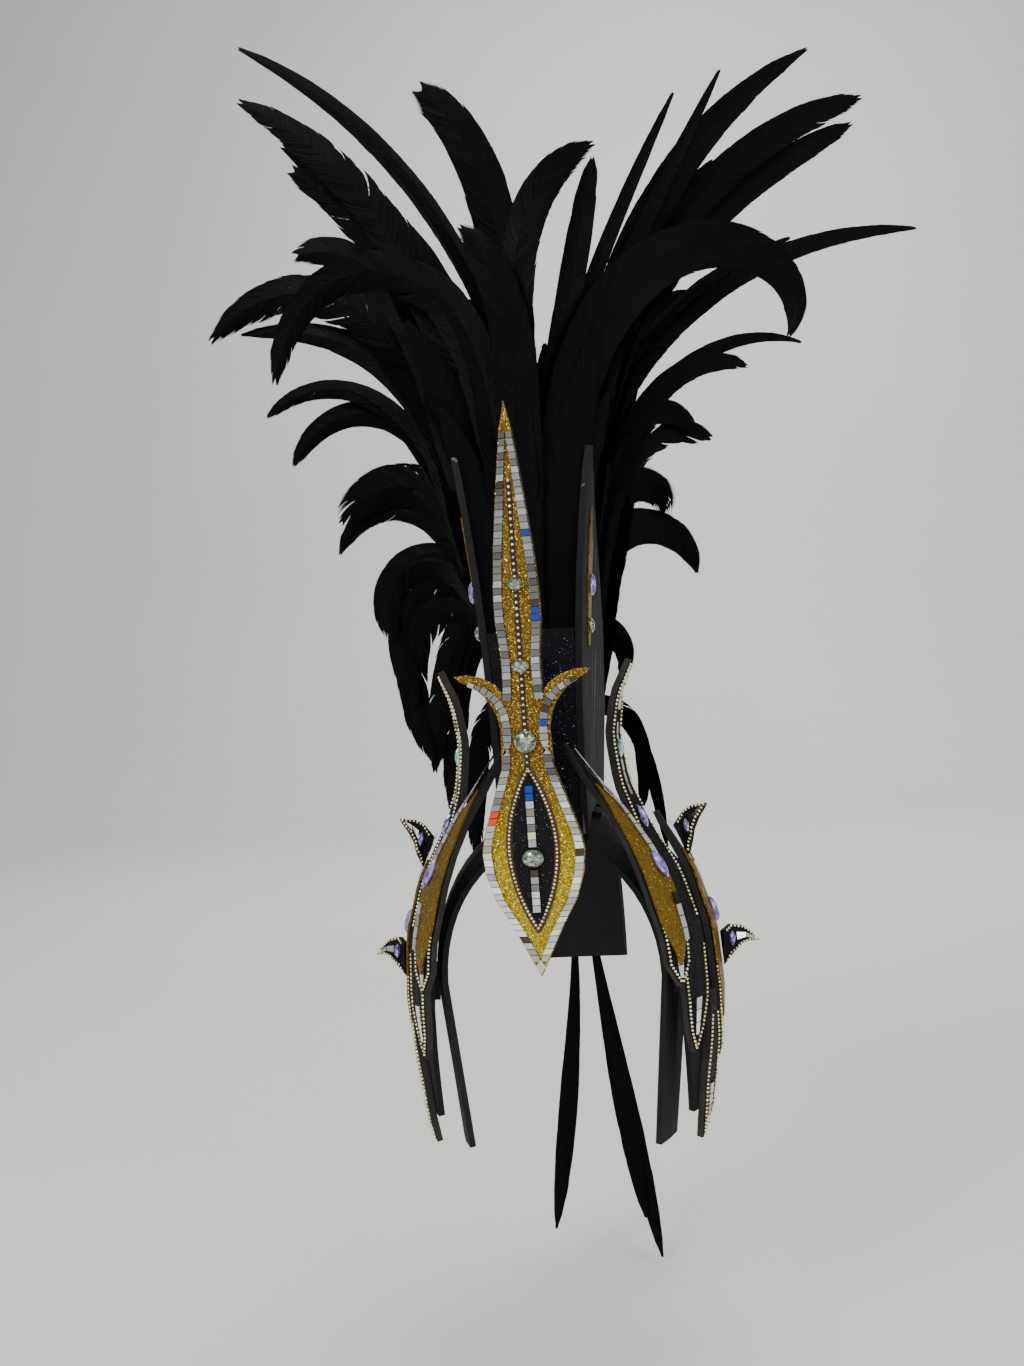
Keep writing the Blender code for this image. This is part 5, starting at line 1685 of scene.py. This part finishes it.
FLOOR_WIDTH = 9.0
FLOOR_CLEAR = 0.004
WALL_HEIGHT = 5.0
SWEEP_WIDTH = 1.2
# Lamps: name, place, width, watts and colour. The wall lamp lights the backdrop alone.
LAMPS = (
    ("card", (0.1, -2.0, 0.1), 2.6, 15.0, (1.0, 0.99, 0.98)),
    ("key", (-1.1, -1.5, 1.7), 1.1, 30.0, (1.0, 0.98, 0.95)),
    ("fill", (1.5, -1.2, 0.7), 1.2, 12.0, (0.95, 0.97, 1.0)),
    ("top", (0.1, 0.4, 2.1), 1.3, 26.0, (1.0, 0.99, 0.97)),
    ("wall", (0.0, 2.2, 2.2), 2.0, 48.0, (1.0, 0.99, 0.97)),
)
# Camera: where it stands and what it looks at, from the fit to the photograph.
LOOK_AT = (0.0, -0.094, 0.085)
CAMERA_ASIDE = 0.0070
CAMERA_AZIMUTH = math.radians(9.0)
CAMERA_ROLL = math.radians(3.9)
CAMERA_RANGE = 0.854
PHOTO_FOCAL = 1400.0
PHOTO_HEIGHT = 1366.0
SENSOR = 36.0


def backdrop():
    """One swept sheet: a floor under the headdress, which rises behind it."""
    deselect()
    foot = CAD_BOX[0][2] - FLOOR_CLEAR
    bpy.ops.mesh.primitive_plane_add(size=FLOOR_WIDTH, location=(0, 0, foot))
    floor = bpy.context.object
    floor.name = "floor_and_backdrop"
    bpy.ops.object.mode_set(mode="EDIT")
    bpy.ops.mesh.select_all(action="DESELECT")
    shape = bmesh.from_edit_mesh(floor.data)
    for edge in shape.edges:
        edge.select = all(v.co.y > FLOOR_WIDTH / 2 - 0.5 for v in edge.verts)
    bmesh.update_edit_mesh(floor.data)
    bpy.ops.mesh.extrude_region_move(TRANSFORM_OT_translate={"value": (0, 0, WALL_HEIGHT)})
    bpy.ops.object.mode_set(mode="OBJECT")
    bend = floor.modifiers.new("sweep", "BEVEL")
    bend.width = SWEEP_WIDTH
    bend.segments = 12
    bend.limit_method = "ANGLE"
    floor.data.materials.append(paint_finish("backdrop_paint", colours().backdrop))
    deselect()
    floor.select_set(True)
    bpy.ops.object.transform_apply(location=True, rotation=True, scale=True)


def studio_light(scene):
    """Soft pale light from all round, and five lamps."""
    world = bpy.data.worlds.new("studio")
    world.use_nodes = True
    ground = world.node_tree.nodes["Background"]
    ground.inputs["Color"].default_value = (0.80, 0.82, 0.84, 1.0)
    ground.inputs["Strength"].default_value = 0.55
    scene.world = world
    for name, place, width, power, colour in LAMPS:
        lamp = bpy.data.lights.new(name, "AREA")
        lamp.size = width
        lamp.energy = power
        lamp.color = colour
        holder = bpy.data.objects.new(name, lamp)
        holder.location = place
        aim = Vector((0, 4.5, 0.2)) if name == "wall" else Vector((0, 0.2, 0.1))
        holder.rotation_euler = (aim - Vector(place)).to_track_quat("-Z", "Y").to_euler()
        scene.collection.objects.link(holder)


def photo_camera(scene):
    """The camera where the photograph was taken from, rolled as it was."""
    right = Vector((math.cos(CAMERA_AZIMUTH), math.sin(CAMERA_AZIMUTH), 0))
    ahead = Vector((-math.sin(CAMERA_AZIMUTH), math.cos(CAMERA_AZIMUTH), 0))
    up = Vector((0, 0, 1))
    place = Vector(LOOK_AT) - right * CAMERA_ASIDE - ahead * CAMERA_RANGE
    turn_c, turn_s = math.cos(CAMERA_ROLL), math.sin(CAMERA_ROLL)
    lens = bpy.data.cameras.new("camera")
    lens.sensor_width = SENSOR
    lens.lens = PHOTO_FOCAL / PHOTO_HEIGHT * SENSOR
    lens.clip_start = 0.05
    camera = bpy.data.objects.new("camera", lens)
    turned = Matrix((right * turn_c - up * turn_s, right * turn_s + up * turn_c, -ahead))
    camera.matrix_world = Matrix.Translation(place) @ turned.transposed().to_4x4()
    scene.collection.objects.link(camera)
    scene.camera = camera


class HEADDRESS_OT_stage(Operator):
    """Set the pale floor and backdrop, the soft lights and the camera"""

    bl_idname = "headdress.stage"
    bl_label = "Stage"

    def execute(self, context):
        backdrop()
        studio_light(context.scene)
        photo_camera(context.scene)
        return {"FINISHED"}


STEPS = (HEADDRESS_OT_stage, HEADDRESS_OT_foam, HEADDRESS_OT_core, HEADDRESS_OT_crest,
         HEADDRESS_OT_nape, HEADDRESS_OT_plate_tiles, HEADDRESS_OT_plate_chain,
         HEADDRESS_OT_plate_stones, HEADDRESS_OT_flame_sheets, HEADDRESS_OT_flame_chains,
         HEADDRESS_OT_flame_mirrors, HEADDRESS_OT_flame_stones, HEADDRESS_OT_board_trim)


class HEADDRESS_PT_panel(Panel):
    bl_label = "Headdress"
    bl_idname = "HEADDRESS_PT_panel"
    bl_space_type = "VIEW_3D"
    bl_region_type = "UI"
    bl_category = "Headdress"

    def draw(self, context):
        column = self.layout.column()
        for group in (sizes(), colours()):
            for key in group.bl_rna.properties.keys():
                if key not in ("rna_type", "name"):
                    column.prop(group, key)
        for step in STEPS:
            column.operator(step.bl_idname)


CLASSES = (HeaddressSizes, HeaddressColours) + STEPS + (HEADDRESS_PT_panel,)


def register():
    for made in CLASSES:
        bpy.utils.register_class(made)
    bpy.types.Scene.headdress_sizes = PointerProperty(type=HeaddressSizes)
    bpy.types.Scene.headdress_colours = PointerProperty(type=HeaddressColours)


def unregister():
    del bpy.types.Scene.headdress_colours
    del bpy.types.Scene.headdress_sizes
    for made in reversed(CLASSES):
        bpy.utils.unregister_class(made)


def main():
    register()
    for step in STEPS:
        area, action = step.bl_idname.split(".")
        getattr(getattr(bpy.ops, area), action)()
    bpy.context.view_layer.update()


if __name__ == "__main__":
    main()
